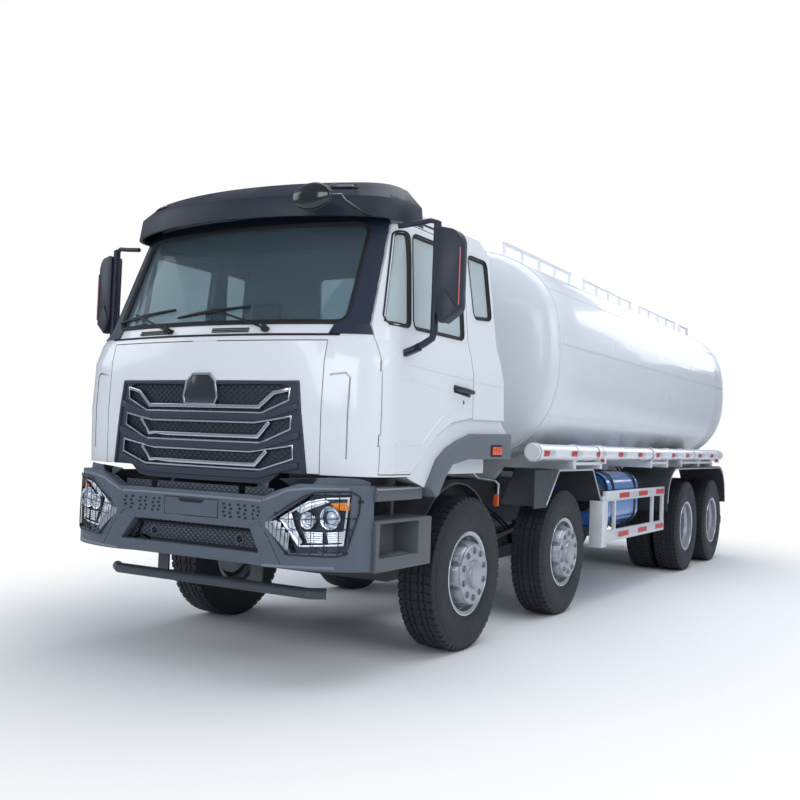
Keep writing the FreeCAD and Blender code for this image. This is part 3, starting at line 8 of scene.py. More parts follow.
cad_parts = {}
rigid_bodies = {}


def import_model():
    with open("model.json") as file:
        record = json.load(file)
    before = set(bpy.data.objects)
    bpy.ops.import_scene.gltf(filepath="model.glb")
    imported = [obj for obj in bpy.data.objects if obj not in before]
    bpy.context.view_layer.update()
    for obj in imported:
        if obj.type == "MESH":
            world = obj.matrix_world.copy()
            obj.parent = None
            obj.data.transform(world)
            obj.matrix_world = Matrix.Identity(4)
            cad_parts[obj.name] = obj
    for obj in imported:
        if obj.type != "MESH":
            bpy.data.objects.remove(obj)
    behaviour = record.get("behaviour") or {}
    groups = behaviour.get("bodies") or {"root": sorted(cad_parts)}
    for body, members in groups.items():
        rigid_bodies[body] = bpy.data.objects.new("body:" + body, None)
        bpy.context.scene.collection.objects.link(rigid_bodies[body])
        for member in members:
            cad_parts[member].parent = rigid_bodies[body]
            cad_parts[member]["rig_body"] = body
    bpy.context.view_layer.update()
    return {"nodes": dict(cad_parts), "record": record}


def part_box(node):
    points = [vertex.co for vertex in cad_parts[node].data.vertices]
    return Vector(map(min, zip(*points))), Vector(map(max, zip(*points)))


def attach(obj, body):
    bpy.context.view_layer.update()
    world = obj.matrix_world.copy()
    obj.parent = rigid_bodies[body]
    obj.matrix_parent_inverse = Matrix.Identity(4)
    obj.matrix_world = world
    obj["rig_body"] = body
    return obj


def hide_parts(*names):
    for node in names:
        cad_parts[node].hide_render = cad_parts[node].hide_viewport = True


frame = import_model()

# Stage: a pale floor that fades to white, soft light from large lamps round the truck, and a camera at
# the photograph's place and lens. The truck stands on the floor at z 0 with its nose towards -Y. A1 is
# axle 1's place along Y, and the lengths below are counted from it.
low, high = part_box("tyre_1_left")
A1 = (low + high).y / 2


def edit_mode():
    """Opens the active object's mesh for editing."""
    bpy.ops.object.mode_set(mode="EDIT")


def object_mode():
    """Leaves edit mode."""
    bpy.ops.object.mode_set(mode="OBJECT")


def select_all():
    """Selects all of the mesh that is being edited."""
    bpy.ops.mesh.select_all(action="SELECT")


def deselect():
    """Leaves edit mode and clears the selection."""
    if bpy.context.object and bpy.context.object.mode != "OBJECT":
        object_mode()
    bpy.ops.object.select_all(action="DESELECT")


def pick(obj):
    """Makes one object the only selected and active one."""
    deselect()
    obj.select_set(True)
    bpy.context.view_layer.objects.active = obj


def srgb(red, green, blue):
    """A linear colour from 0 to 255 screen values."""
    linear = []
    for value in (red, green, blue):
        value = value / 255
        linear.append(value / 12.92 if value <= 0.04045 else ((value + 0.055) / 1.055) ** 2.4)
    return (*linear, 1.0)


def node(tree, kind, **values):
    """Adds a shader node and sets its named inputs, with _ where the name has a space."""
    made = tree.nodes.new("ShaderNode" + kind)
    for name, value in values.items():
        made.inputs[name.replace("_", " ")].default_value = value
    return made


world = bpy.data.worlds.new("studio")
bpy.context.scene.world = world
world.use_nodes = True
tree = world.node_tree
fill = tree.nodes["Background"]
fill.inputs["Color"].default_value = srgb(216, 227, 244)
fill.inputs["Strength"].default_value = 0.45
white = node(tree, "Background", Color=(1, 1, 1, 1), Strength=1.0)
rays = node(tree, "LightPath")
seen = node(tree, "Math")
seen.operation = "MAXIMUM"
tree.links.new(rays.outputs["Is Camera Ray"], seen.inputs[0])
tree.links.new(rays.outputs["Is Transmission Ray"], seen.inputs[1])
mix = node(tree, "MixShader")
tree.links.new(seen.outputs[0], mix.inputs[0])
tree.links.new(fill.outputs[0], mix.inputs[1])
tree.links.new(white.outputs[0], mix.inputs[2])
tree.links.new(mix.outputs[0], tree.nodes["World Output"].inputs["Surface"])

# the floor keeps the shadow near the truck and fades to pure white further out
bpy.ops.mesh.primitive_plane_add(size=120, location=(0, 0, 0))
floor = bpy.context.object
floor.name = "floor"
mat = bpy.data.materials.new("floor_white")
mat.use_nodes = True
tree = mat.node_tree
matt = tree.nodes["Principled BSDF"]
matt.inputs["Base Color"].default_value = (0.9, 0.9, 0.9, 1)
matt.inputs["Roughness"].default_value = 0.9
matt.inputs["Specular IOR Level"].default_value = 0.1
glow = node(tree, "Emission", Color=(1, 1, 1, 1))
place = node(tree, "TexCoord")
squeeze = node(tree, "Mapping", Scale=(1 / 4.4, 1 / 8.5, 1))
tree.links.new(place.outputs["Object"], squeeze.inputs["Vector"])
away = node(tree, "VectorMath")
away.operation = "LENGTH"
tree.links.new(squeeze.outputs["Vector"], away.inputs[0])
fade = node(tree, "MapRange", From_Min=0.55, From_Max=1.0)
fade.interpolation_type = "SMOOTHSTEP"
tree.links.new(away.outputs["Value"], fade.inputs["Value"])
rays = node(tree, "LightPath")
share = node(tree, "Math")
share.operation = "MULTIPLY"
tree.links.new(rays.outputs["Is Camera Ray"], share.inputs[0])
tree.links.new(fade.outputs["Result"], share.inputs[1])
mix = node(tree, "MixShader")
tree.links.new(share.outputs[0], mix.inputs[0])
tree.links.new(matt.outputs[0], mix.inputs[1])
tree.links.new(glow.outputs[0], mix.inputs[2])
tree.links.new(mix.outputs[0], tree.nodes["Material Output"].inputs["Surface"])
floor.data.materials.append(mat)

for name, place, target, size, power in (
        ("overhead", (1.0, 1.0, 9.5), (0, 0, 0), (13, 7), 700),
        ("left_side", (11.0, -6.0, 6.0), (0, -0.5, 1.4), (9, 5), 345),
        ("right_side", (-10.0, -8.0, 6.0), (0, -3.0, 1.4), (7, 5), 180),
        ("front", (1.0, -15.0, 5.0), (0, -4.0, 1.2), (8, 4), 340),
        ("behind", (1.0, 14.0, 6.0), (0, 4.0, 1.8), (8, 4), 190)):
    lamp = bpy.data.lights.new(name, "AREA")
    lamp.shape = "RECTANGLE"
    lamp.size, lamp.size_y = size
    lamp.energy = power
    lamp.color = srgb(246, 250, 255)[:3]
    lamp_object = bpy.data.objects.new(name, lamp)
    lamp_object.location = place
    lamp_object.rotation_euler = (Vector(target) - Vector(place)).to_track_quat("-Z", "Y").to_euler()
    bpy.context.scene.collection.objects.link(lamp_object)

# the camera's place, lens and turn were fitted to points measured in the photograph
yaw, pitch, roll = -0.531, 0.040, 0.037
focal_px, photo_px = 971.8, 800
ahead = Vector((math.sin(yaw) * math.cos(pitch), math.cos(yaw) * math.cos(pitch), math.sin(pitch)))
level = Vector((math.cos(yaw), -math.sin(yaw), 0))
above = level.cross(ahead)
right = math.cos(roll) * level + math.sin(roll) * above
above = -math.sin(roll) * level + math.cos(roll) * above
camera = bpy.data.objects.new("camera", bpy.data.cameras.new("camera"))
camera.data.sensor_width = 36
camera.data.lens = camera.data.sensor_width * focal_px / photo_px
camera.data.clip_end = 200
camera.matrix_world = Matrix((
    (right.x, above.x, -ahead.x, 4.223),
    (right.y, above.y, -ahead.y, A1 - 6.252),
    (right.z, above.z, -ahead.z, 1.477),
    (0, 0, 0, 1)))
bpy.context.scene.collection.objects.link(camera)
bpy.context.scene.camera = camera
bpy.context.scene.view_settings.view_transform = "Standard"

# White cab and tank panels: pressed and rolled steel with solid white paint under clear lacquer.
# Each CAD form is copied, its loose triangles are joined and its curves shaded smooth, and the copy
# stands in the node's place. The lacquer has a faint orange peel and a little road film low down.


def finish(name, colour, rough, metal=0.0, drift=0.04, scale=5.0, grain=0.0, grain_scale=300.0, coat=0.0,
           film=0.0):
    """A paint, plastic or metal whose colour and gloss drift, with its grain and a road film low down."""
    mat = bpy.data.materials.new(name)
    mat.use_nodes = True
    tree = mat.node_tree
    link = tree.links.new
    shader = tree.nodes["Principled BSDF"]
    shader.inputs["Metallic"].default_value = metal
    shader.inputs["Coat Weight"].default_value = coat
    shader.inputs["Coat Roughness"].default_value = 0.04
    place = node(tree, "TexCoord").outputs["Object"]
    clouds = node(tree, "TexNoise", Scale=scale, Detail=5.0)
    link(place, clouds.inputs["Vector"])
    tone = node(tree, "MixRGB", Color1=tuple(c * (1 - drift) for c in colour[:3]) + (1,),
                Color2=tuple(min(c * (1 + drift), 1) for c in colour[:3]) + (1,))
    link(clouds.outputs["Fac"], tone.inputs["Fac"])
    gloss = node(tree, "MapRange", To_Min=rough * 0.8, To_Max=min(rough * 1.2, 1))
    link(clouds.outputs["Fac"], gloss.inputs["Value"])
    colour_out = tone.outputs["Color"]
    if film:
        split = node(tree, "SeparateXYZ")
        link(place, split.inputs["Vector"])
        low = node(tree, "MapRange", From_Min=1.5, From_Max=0.3, To_Max=film)
        link(split.outputs["Z"], low.inputs["Value"])
        patch = node(tree, "TexNoise", Scale=9.0, Detail=8.0)
        link(place, patch.inputs["Vector"])
        share = node(tree, "Math")
        share.operation = "MULTIPLY"
        link(low.outputs["Result"], share.inputs[0])
        link(patch.outputs["Fac"], share.inputs[1])
        veil = node(tree, "MixRGB", Color2=srgb(128, 122, 114))
        link(share.outputs[0], veil.inputs["Fac"])
        link(colour_out, veil.inputs["Color1"])
        colour_out = veil.outputs["Color"]
    link(colour_out, shader.inputs["Base Color"])
    link(gloss.outputs["Result"], shader.inputs["Roughness"])
    if grain:
        speck = node(tree, "TexNoise", Scale=grain_scale, Detail=3.0)
        link(place, speck.inputs["Vector"])
        bump = node(tree, "Bump", Strength=grain, Distance=0.002)
        link(speck.outputs["Fac"], bump.inputs["Height"])
        link(bump.outputs["Normal"], shader.inputs["Normal"])
    return mat


def modified(obj, kind, **settings):
    """Adds a modifier with these settings and applies it."""
    pick(obj)
    made = obj.modifiers.new(kind.lower(), kind)
    for name, value in settings.items():
        setattr(made, name, value)
    bpy.ops.object.modifier_apply(modifier=made.name)


def smoothed(angle):
    """Shades the bends of the active object smooth, up to an angle in degrees."""
    bpy.ops.object.shade_smooth_by_angle(angle=math.radians(angle))


def dressed(name, material, angle=28.0, bevel=0.0):
    """A clean, smooth copy of a CAD node that stands in its place."""
    source = frame["nodes"][name]
    obj = bpy.data.objects.new(name + "_form", source.data.copy())
    bpy.context.scene.collection.objects.link(obj)
    obj.data.materials.clear()
    obj.data.materials.append(material)
    pick(obj)
    edit_mode()
    select_all()
    bpy.ops.mesh.remove_doubles(threshold=0.00003)
    bpy.ops.mesh.customdata_custom_splitnormals_clear()
    bpy.ops.mesh.dissolve_limited(angle_limit=math.radians(0.4))
    bpy.ops.mesh.normals_make_consistent(inside=False)
    object_mode()
    if bevel:
        modified(obj, "BEVEL", width=bevel, segments=2, limit_method="ANGLE", angle_limit=math.radians(40),
                 use_clamp_overlap=True, harden_normals=False)
    smoothed(angle)
    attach(obj, source["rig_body"])
    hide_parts(name)
    return obj


white_paint = finish("white_lacquer", srgb(236, 238, 240), 0.22, drift=0.012, scale=1.5, grain=0.02,
                     grain_scale=90, coat=0.6, film=0.25)
for name in ("cab_shell", "front_panel", "door_left", "door_right"):
    dressed(name, white_paint)
tank_white = finish("tank_white", srgb(238, 240, 242), 0.2, drift=0.015, scale=0.8, grain=0.05,
                    grain_scale=2.2, coat=0.5, film=0.2)
for name in ("manhole_lid_1", "manhole_lid_2", "side_tubes", "top_rails", "rear_ladder"):
    dressed(name, tank_white)

# Wheels: tubeless tyres with a five-rib tread, shoulder lugs and ringed side walls, on pressed steel
# rims painted silver. The front wheels carry a hub cover with ten nuts in cups, the rear ones a deep
# dish with a driven hub. One tyre is made and copied to each wheel.
tyre_r = 0.542
tread_half = 0.127
groove_depth = 0.013
lugs = 56


def extruded(move=(0, 0, 0)):
    """Extrudes what is selected and moves it."""
    bpy.ops.mesh.extrude_region_move(TRANSFORM_OT_translate={"value": move})


def draw_line(name, points):
    """A chain of edges, drawn by extruding a single vertex from each point to the next."""
    deselect()
    bpy.ops.mesh.primitive_plane_add(size=0.1, location=(0, 0, 0))
    obj = bpy.context.object
    obj.name = name
    edit_mode()
    select_all()
    bpy.ops.mesh.merge(type="CENTER")
    bpy.ops.mesh.select_mode(type="VERT")
    select_all()
    bpy.ops.transform.translate(value=Vector(points[0]))
    for a, b in zip(points, points[1:]):
        extruded(Vector(b) - Vector(a))
    select_all()
    return obj


def outwards():
    """Turns all faces outwards and leaves edit mode."""
    select_all()
    bpy.ops.mesh.normals_make_consistent(inside=False)
    object_mode()


def ended(angle=40):
    """Ends an edit, and shades all bends up to the angle smooth."""
    outwards()
    smoothed(angle)


def plate(name, points, depth, round_edge=0.0, segments=2):
    """A flat outline filled and extruded by depth, with its edges rounded over."""
    obj = draw_line(name, points)
    bpy.ops.mesh.edge_face_add()
    select_all()
    extruded(Vector(depth))
    select_all()
    bpy.ops.mesh.normals_make_consistent(inside=False)
    if round_edge:
        bpy.ops.mesh.bevel(offset=round_edge, segments=segments, affect="EDGES", clamp_overlap=True)
    object_mode()
    smoothed(35)
    return obj


def spun(name, profile, steps=72, axis=(1, 0, 0), centre=(0, 0, 0), angle=35.0):
    """A profile of points turned all the way round an axis."""
    obj = draw_line(name, profile)
    bpy.ops.mesh.spin(steps=steps, angle=2 * math.pi, center=centre, axis=axis)
    select_all()
    bpy.ops.mesh.remove_doubles(threshold=0.00002)
    ended(angle)
    return obj


def joined(name, parts):
    """Several objects made one mesh."""
    pick(parts[0])
    for part in parts[1:]:
        part.select_set(True)
    bpy.ops.object.join()
    obj = bpy.context.object
    obj.name = name
    obj.data.name = name
    return obj


def repeated(obj, count, axis=(1, 0, 0), centre=(0, 0, 0)):
    """The whole mesh copied round an axis until there are count of it."""
    pick(obj)
    edit_mode()
    select_all()
    bpy.ops.mesh.spin(steps=count - 1, dupli=True, angle=2 * math.pi * (count - 1) / count, center=centre,
                      axis=axis)
    object_mode()
    return obj


def settle(obj):
    """Applies place, turn and scale, so that the object sits at the origin."""
    pick(obj)
    bpy.ops.object.transform_apply(location=True, rotation=True, scale=True)
    return obj


def copy_of(obj, name, move=(0, 0, 0), flip=False):
    """A copy with its own mesh, moved or mirrored to the other side of the truck."""
    twin = obj.copy()
    twin.data = obj.data.copy()
    twin.name = name
    for key in list(twin.keys()):
        del twin[key]
    twin.parent = None
    bpy.context.scene.collection.objects.link(twin)
    twin.location = move
    if flip:
        twin.scale = (-1, 1, 1)
    settle(twin)
    if flip:
        edit_mode()
        outwards()
    return twin


def placed(obj, body, material=None):
    """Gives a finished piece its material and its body."""
    if material:
        obj.data.materials.clear()
        obj.data.materials.append(material)
    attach(obj, body)
    return obj


rubber = finish("tyre_rubber", srgb(31, 34, 40), 0.58, drift=0.25, scale=14, grain=0.25, grain_scale=260)
side_wall = [(0.112, 0.2785), (0.124, 0.284), (0.1275, 0.296), (0.1335, 0.303), (0.1335, 0.314),
             (0.137, 0.318), (0.1405, 0.345), (0.1445, 0.385), (0.1465, 0.42), (0.1455, 0.45),
             (0.1445, 0.4505), (0.1445, 0.456), (0.145, 0.4565), (0.1435, 0.472), (0.1455, 0.475),
             (0.1445, 0.484), (0.1405, 0.487), (0.136, 0.505), (0.129, 0.522), (0.121, tyre_r - groove_depth),
             (0.06, tyre_r - groove_depth + 0.001)]
carcass = spun("tyre", [(x, 0, r) for x, r in side_wall] + [(-x, 0, r) for x, r in side_wall[::-1]], steps=96)
pitch = 2 * math.pi * tyre_r / lugs
gap = 0.0022
zig = 0.0045
blocks = []
for x0, x1 in ((-0.0245, 0.0245), (0.0335, 0.0655), (-0.0655, -0.0335)):
    outline = [(x0 - zig, 0), (x0 + zig, pitch * 0.5), (x0 - zig, pitch - gap), (x1 - zig, pitch - gap),
               (x1 + zig, pitch * 0.5), (x1 - zig, 0)]
    blocks.append(plate("rib", [(x, y, -groove_depth) for x, y in outline], (0, 0, groove_depth), 0.0012, 1))
for side in (-1, 1):
    outline = [(0.0745 - zig, 0), (0.0745 + zig, pitch * 0.5), (0.0745 - zig, pitch - gap),
               (0.1, pitch - gap), (0.102, pitch * 0.80), (tread_half, pitch * 0.78), (tread_half, 0.004),
               (0.102, 0.001)]
    blocks.append(plate("lug", [(side * x, y, -groove_depth) for x, y in outline], (0, 0, groove_depth),
                        0.0015, 1))
    lower = [(0.118, 0.003), (0.118, pitch * 0.77), (0.1405, pitch * 0.70), (0.1405, 0.008)]
    edge = plate("lug_side", [(side * x, y, -0.052) for x, y in lower], (0, 0, 0.046), 0.0)
    for v in edge.data.vertices:
        if v.co.z > -0.03 and abs(v.co.x) > 0.13:
            v.co.x = side * 0.129
            v.co.z = -0.003
    blocks.append(edge)
tread = joined("tread", blocks)
for v in tread.data.vertices:
    angle = v.co.y / tyre_r
    crown = 0.0035 * (v.co.x / tread_half) ** 2
    r = tyre_r + v.co.z - crown
    v.co = Vector((v.co.x, r * math.sin(angle), r * math.cos(angle)))
repeated(tread, lugs)
tyre = joined("tyre", [carcass, tread])
pick(tyre)
smoothed(35)
tyre.data.materials.append(rubber)
for v in tyre.data.vertices:
    r = math.hypot(v.co.y, v.co.z)
    if r > tyre_r:
        v.co.y *= tyre_r / r
        v.co.z *= tyre_r / r
# the tyre is turned so that a block, not a groove, meets the floor
tyre.data.transform(Matrix.Rotation(math.pi + pitch / tyre_r * 0.35, 4, "X"))
for v in tyre.data.vertices:
    v.co.z = max(v.co.z, -tyre_r)

silver = finish("wheel_silver", srgb(172, 176, 182), 0.34, metal=0.55, drift=0.06, scale=9, grain=0.08,
                grain_scale=420, coat=0.2)
nut_steel = finish("nut_steel", srgb(150, 153, 158), 0.35, metal=0.9, drift=0.12, scale=30, grain=0.1,
                   grain_scale=500)
dark_gap = finish("shadow_gap", srgb(20, 22, 26), 0.7, drift=0.2, scale=20)
twin_middle, twin_half = 0.93, 0.165
for number in (1, 2, 3, 4):
    for side_name, side in (("left", 1), ("right", -1)):
        low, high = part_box(f"tyre_{number}_{side_name}")
        centre = (low + high) / 2
        body = f"wheel_{number}_{side_name}"
        dressed(f"rim_{number}_{side_name}", silver)
        spots = [centre.x] if number < 3 else [side * (twin_middle - twin_half),
                                                side * (twin_middle + twin_half)]
        parts = [copy_of(tyre, "tyre_part", (x, centre.y, tyre_r)) for x in spots]
        full = joined(f"tread_{number}_{side_name}", parts) if len(parts) > 1 else parts[0]
        full.name = f"tread_{number}_{side_name}"
        placed(full, body, rubber)
        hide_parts(f"tyre_{number}_{side_name}")
bpy.data.objects.remove(tyre)

# Grille: a dark moulded frame on the lifting front panel, with three slots that show a honeycomb
# mesh, a bright ring round each slot and a bright bar inside it. Rounded rolls are moulded between the
# slots. The bright strips are chromed plastic 8 mm deep, bent to the bow of the panel.
mesh_depth = 0.0215
slot_halves = (
    ([(0.600, 1.783), (0.672, 1.764), (0.668, 1.686), (0.480, 1.606)],
     [(0.664, 1.752), (0.560, 1.730), (0.457, 1.642)]),
    ([(0.430, 1.545), (0.690, 1.588), (0.686, 1.511), (0.480, 1.423)], [(0.535, 1.550), (0.454, 1.458)]),
    ([(0.400, 1.365), (0.703, 1.412), (0.708, 1.332), (0.480, 1.258)], [(0.520, 1.372), (0.437, 1.285)]),
)


def surface(*names):
    """The outer surface of some CAD nodes, to lay pieces on."""
    points, faces = [], []
    for name in names:
        mesh = frame["nodes"][name].data
        start = len(points)
        points += [v.co.copy() for v in mesh.vertices]
        faces += [[start + i for i in p.vertices] for p in mesh.polygons]
    return BVHTree.FromPolygons(points, faces)


def drape(obj, tree, along, square=False):
    """Lays a piece modelled on a flat plane onto a surface, keeping its relief, square to it if asked."""
    along = Vector(along)
    depth, lean = None, -along
    for v in obj.data.vertices:
        relief = v.co.dot(along)
        hit = tree.ray_cast(v.co - along * (relief + 6), along)
        if hit[0] is not None:
            depth = hit[3] - 6
            lean = hit[1] if hit[1].dot(along) < 0 else -hit[1]
        if depth is None:
            continue
        v.co = v.co + along * depth
        if square:
            v.co = v.co - along * relief - lean * relief
    return obj


def resampled(path, step, closed=False):
    """The path with points added so that none are further apart than step."""
    if closed:
        path = path + [path[0]]
    points = [Vector(path[0])]
    for a, b in zip(path, path[1:]):
        a, b = Vector(a), Vector(b)
        count = max(1, math.ceil((b - a).length / step))
        points += [a.lerp(b, i / count) for i in range(1, count + 1)]
    return points[:-1] if closed else points


def band(name, path, width, rise, out, step=0.09, closed=False, round_edge=0.0, sink=0.0):
    """A flat strip of even width along a path, extruded to stand proud, with rounded edges."""
    out = Vector(out)
    points = resampled(path, step, closed)
    count = len(points)
    offsets = []
    for i, point in enumerate(points):
        before = points[i - 1] if (i or closed) else point
        after = points[(i + 1) % count] if (i + 1 < count or closed) else point
        one = (point - before).normalized() if (point - before).length > 1e-9 else None
        two = (after - point).normalized() if (after - point).length > 1e-9 else None
        if one is None:
            one = two
        if two is None:
            two = one
        side = out.cross((one + two).normalized())
        stretch = 1 / max(0.45, math.sqrt((1 + one.dot(two)) / 2))
        offsets.append(side * (width / 2 * stretch))
    left = [p + o - out * sink for p, o in zip(points, offsets)]
    line = left + [left[0]] if closed else left
    obj = draw_line(name, line)
    extruded()
    object_mode()
    half = len(obj.data.vertices) // 2
    for i in range(half):
        obj.data.vertices[half + i].co = obj.data.vertices[i].co - 2 * offsets[i % count]
    edit_mode()
    select_all()
    if closed:
        bpy.ops.mesh.remove_doubles(threshold=0.00002)
    extruded(out * (rise + sink))
    outwards()
    if round_edge:
        modified(obj, "BEVEL", width=round_edge, segments=3, limit_method="ANGLE",
                 angle_limit=math.radians(50))
    smoothed(40)
    return obj


def front(path, side=1):
    """Front-view (x, z) points set on the plane y 0, on their own side or mirrored."""
    return [(side * x, 0, z) for x, z in path]


def both_sides(half):
    """A front-view path of one half mirrored to run right across the truck."""
    return front(half, -1) + front(half[::-1])


def honeycomb(name, x0, x1, z0, z1, wide=0.046, high=0.025, rib=0.005, rise=0.005):
    """A flat field of hollow six-sided cells, as moulded grille mesh."""
    deselect()
    bpy.ops.mesh.primitive_circle_add(vertices=6, radius=0.5, fill_type="NGON", rotation=(math.pi / 2, 0, 0))
    cell = bpy.context.object
    cell.name = name
    bpy.ops.object.transform_apply(location=False, rotation=True, scale=False)
    # a point, not a side, faces up
    if abs(max(v.co.z for v in cell.data.vertices) - 0.5) > 0.01:
        cell.data.transform(Matrix.Rotation(math.radians(30), 4, "Y"))
    cell.scale = (wide / math.cos(math.radians(30)), 1, high)
    bpy.ops.object.transform_apply(location=False, rotation=False, scale=True)
    edit_mode()
    select_all()
    bpy.ops.mesh.inset(thickness=rib / 2, depth=0)
    bpy.ops.mesh.delete(type="FACE")
    select_all()
    extruded((0, -rise, 0))
    select_all()
    bpy.ops.mesh.duplicate_move(TRANSFORM_OT_translate={"value": (wide / 2, 0, high * 0.75)})
    object_mode()
    for count, step in ((math.ceil((x1 - x0) / wide), (wide, 0, 0)),
                        (math.ceil((z1 - z0) / (high * 1.5)), (0, 0, high * 1.5))):
        modified(cell, "ARRAY", count=count, use_relative_offset=False, use_constant_offset=True,
                 constant_offset_displace=step)
    cell.location = (x0 + wide / 2, 0, z0 + high / 2)
    bpy.ops.object.transform_apply(location=True, rotation=False, scale=False)
    edit_mode()
    for edge, away in (((x0, 0, 0), (-1, 0, 0)), ((x1, 0, 0), (1, 0, 0)), ((0, 0, z0), (0, 0, -1)),
                       ((0, 0, z1), (0, 0, 1))):
        select_all()
        bpy.ops.mesh.bisect(plane_co=edge, plane_no=away, clear_outer=True)
    outwards()
    return cell


def sliced(obj, axis, step):
    """The mesh cut straight across at even steps, so that it can follow a curve."""
    pick(obj)
    low = min(v.co[axis] for v in obj.data.vertices)
    high = max(v.co[axis] for v in obj.data.vertices)
    normal = [0, 0, 0]
    normal[axis] = 1
    edit_mode()
    for i in range(1, max(2, math.ceil((high - low) / step))):
        place = [0, 0, 0]
        place[axis] = low + i * step
        if place[axis] < high - 0.001:
            select_all()
            bpy.ops.mesh.bisect(plane_co=place, plane_no=normal)
    object_mode()
    return obj


def bow_y(x, z):
    """The cab's bowed front, without the grille's openings."""
    levels = ((1.245, -1.555, 0.063, 0.885), (1.620, -1.565, 0.065, 0.885), (1.930, -1.562, 0.077, 0.890),
              (2.060, -1.555, 0.100, 0.895))
    z = min(max(z, levels[0][0]), levels[-1][0])
    for low, high in zip(levels, levels[1:]):
        if low[0] <= z <= high[0]:
            share = (z - low[0]) / (high[0] - low[0])
            nose, bow, half = (a + (b - a) * share for a, b in zip(low[1:], high[1:]))
            break
    radius = (half * half + bow * bow) / (2 * bow)
    return A1 + nose + radius - math.sqrt(radius * radius - x * x)


def bowed(obj):
    """Bends a piece modelled on the plane y 0 to the cab's front."""
    for v in obj.data.vertices:
        v.co.y += bow_y(v.co.x, v.co.z)
    return obj


out, back = (0, -1, 0), (0, 1, 0)
chrome = finish("chromed_plastic", srgb(205, 208, 213), 0.16, metal=1.0, drift=0.04, scale=18, grain=0.03,
                grain_scale=60)
navy = finish("grille_navy", srgb(44, 52, 66), 0.42, drift=0.1, scale=14, grain=0.2, grain_scale=520)
mesh_black = finish("mesh_black", srgb(30, 35, 44), 0.5, drift=0.15, scale=30, grain=0.15, grain_scale=400)
strips = []
for i, (half, bar) in enumerate(slot_halves):
    # the upper ring is left open where the badge place covers it
    ring = both_sides(half if i else half[1:])
    strips.append(band("ring", ring, 0.010, 0.004, out, closed=i > 0, round_edge=0.002, sink=0.004))
    strips.append(band("bar", both_sides(bar), 0.024, 0.004, out, round_edge=0.0035, sink=0.006))
for strip in strips:
    bowed(strip)
trim = placed(joined("slot_trim", strips), "front_panel", chrome)
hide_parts("grille_trim")
rolls = []
for half in (
        [(0.735, 1.655), (0.680, 1.634), (0.465, 1.577)],
        [(0.750, 1.478), (0.690, 1.462), (0.450, 1.394)],
        [(0.745, 1.292), (0.700, 1.288), (0.460, 1.222)]):
    rolls.append(band("roll", both_sides(half), 0.042, 0.009, out, round_edge=0.009, sink=0.004))
rim_line = [(0.796, 1.250), (0.724, 1.796), (0.180, 1.790)]
rolls.append(band("rim_bar", both_sides(rim_line), 0.022, 0.006, out, round_edge=0.006, sink=0.006))
for roll in rolls:
    bowed(roll)
placed(joined("grille_rolls", rolls), "front_panel", navy)
heights = ((1.602, 1.788), (1.420, 1.590), (1.256, 1.414))
fields = [honeycomb("mesh", -0.70, 0.70, low, high) for low, high in heights]
for field in fields:
    bowed(field)
    for v in field.data.vertices:
        v.co.y += mesh_depth + 0.004
placed(joined("grille_mesh", fields), "front_panel", mesh_black)
dressed("grille", navy)

# Badge place: a plain chromed bezel with a smooth dark field, left bare, on the upper slot's middle.
# Both are plastic, clipped to the front panel.
outline = [(-0.125, 1.652), (0.125, 1.652), (0.140, 1.700), (0.118, 1.800), (0.070, 1.846), (-0.070, 1.846),
           (-0.118, 1.800), (-0.140, 1.700)]
bezel = band("bezel", front(outline), 0.014, 0.014, out, closed=True, round_edge=0.004, sink=0.03)
bowed(bezel)
placed(bezel, "front_panel", chrome)
field = plate("badge_field", [(x * 0.96, 0.03, z) for x, z in outline], (0, -0.038, 0), 0.002)
field = bowed(sliced(field, 0, 0.06))
placed(field, "front_panel",
       finish("badge_field", srgb(34, 39, 48), 0.18, drift=0.08, scale=10, coat=0.5))

# Bumper: grained grey plastic in one moulding, with a dark mesh in its upper gap and lower slot, three
# groups of dimples each side of a blank plate place, filled near-black as painted shade in the holes,
# ridges in a lighter grey as painted highlights, and fairings up to the cab's edge. The upper mesh is
# left out where the tilting cab's two arms pass.
nose = A1 - 1.640
bumper_skin = surface("bumper", "headlamps")


def behind_nose(obj):
    """Keeps a piece from standing out past the foremost point of the truck."""
    for v in obj.data.vertices:
        v.co.y = max(v.co.y, nose)
    return obj


bumper_grey = finish("bumper_grain", srgb(86, 95, 108), 0.44, drift=0.1, scale=9, grain=0.3, grain_scale=620,
                     film=0.12)
dressed("bumper", bumper_grey, angle=30, bevel=0.009)
# near-black: painted shade inside the dimple holes, and the real dark trim of the slot frame, plate edges and
# seams
dimple_black = finish("dimple_black", srgb(18, 20, 23), 0.6, drift=0.2, scale=40, grain=0.1)
dimples = []
for start in (0.268, 0.384, 0.500):
    for column in range(2):
        for row in range(4):
            x = start + column * 0.048 + row % 2 * 0.010
            z = 1.040 - row * 0.0245 - 0.004 * column
            for side in (-1, 1):
                ring = spun("dimple", [(side * x + 0.0001, -0.0010, z), (side * x + 0.0115, -0.0010, z),
                                       (side * x + 0.0130, 0.0015, z)],
                            steps=12, axis=(0, 1, 0), centre=(side * x, 0, z))
                ring.data.transform(Matrix.Diagonal((1, 1, 0.72, 1)))
                for v in ring.data.vertices:
                    v.co.z += z * 0.28
                dimples.append(ring)
placed(drape(joined("bumper_dimples", dimples), bumper_skin, back), "chassis", dimple_black)
hexes = []
for x0, x1, z0, z1, y in ((-0.600, -0.398, 1.096, 1.149, -1.566), (-0.332, 0.332, 1.096, 1.149, -1.566),
                          (0.398, 0.600, 1.096, 1.149, -1.566), (-0.610, 0.610, 0.744, 0.927, -1.545)):
    piece = honeycomb("mesh", x0, x1, z0, z1, wide=0.040, high=0.021, rise=0.006)
    for v in piece.data.vertices:
        v.co.y += A1 + y
    hexes.append(piece)
hexes = joined("bumper_mesh", hexes)
placed(hexes, "chassis",
       finish("bumper_mesh_black", srgb(52, 57, 64), 0.5, drift=0.12, scale=20, grain=0.2, grain_scale=300))
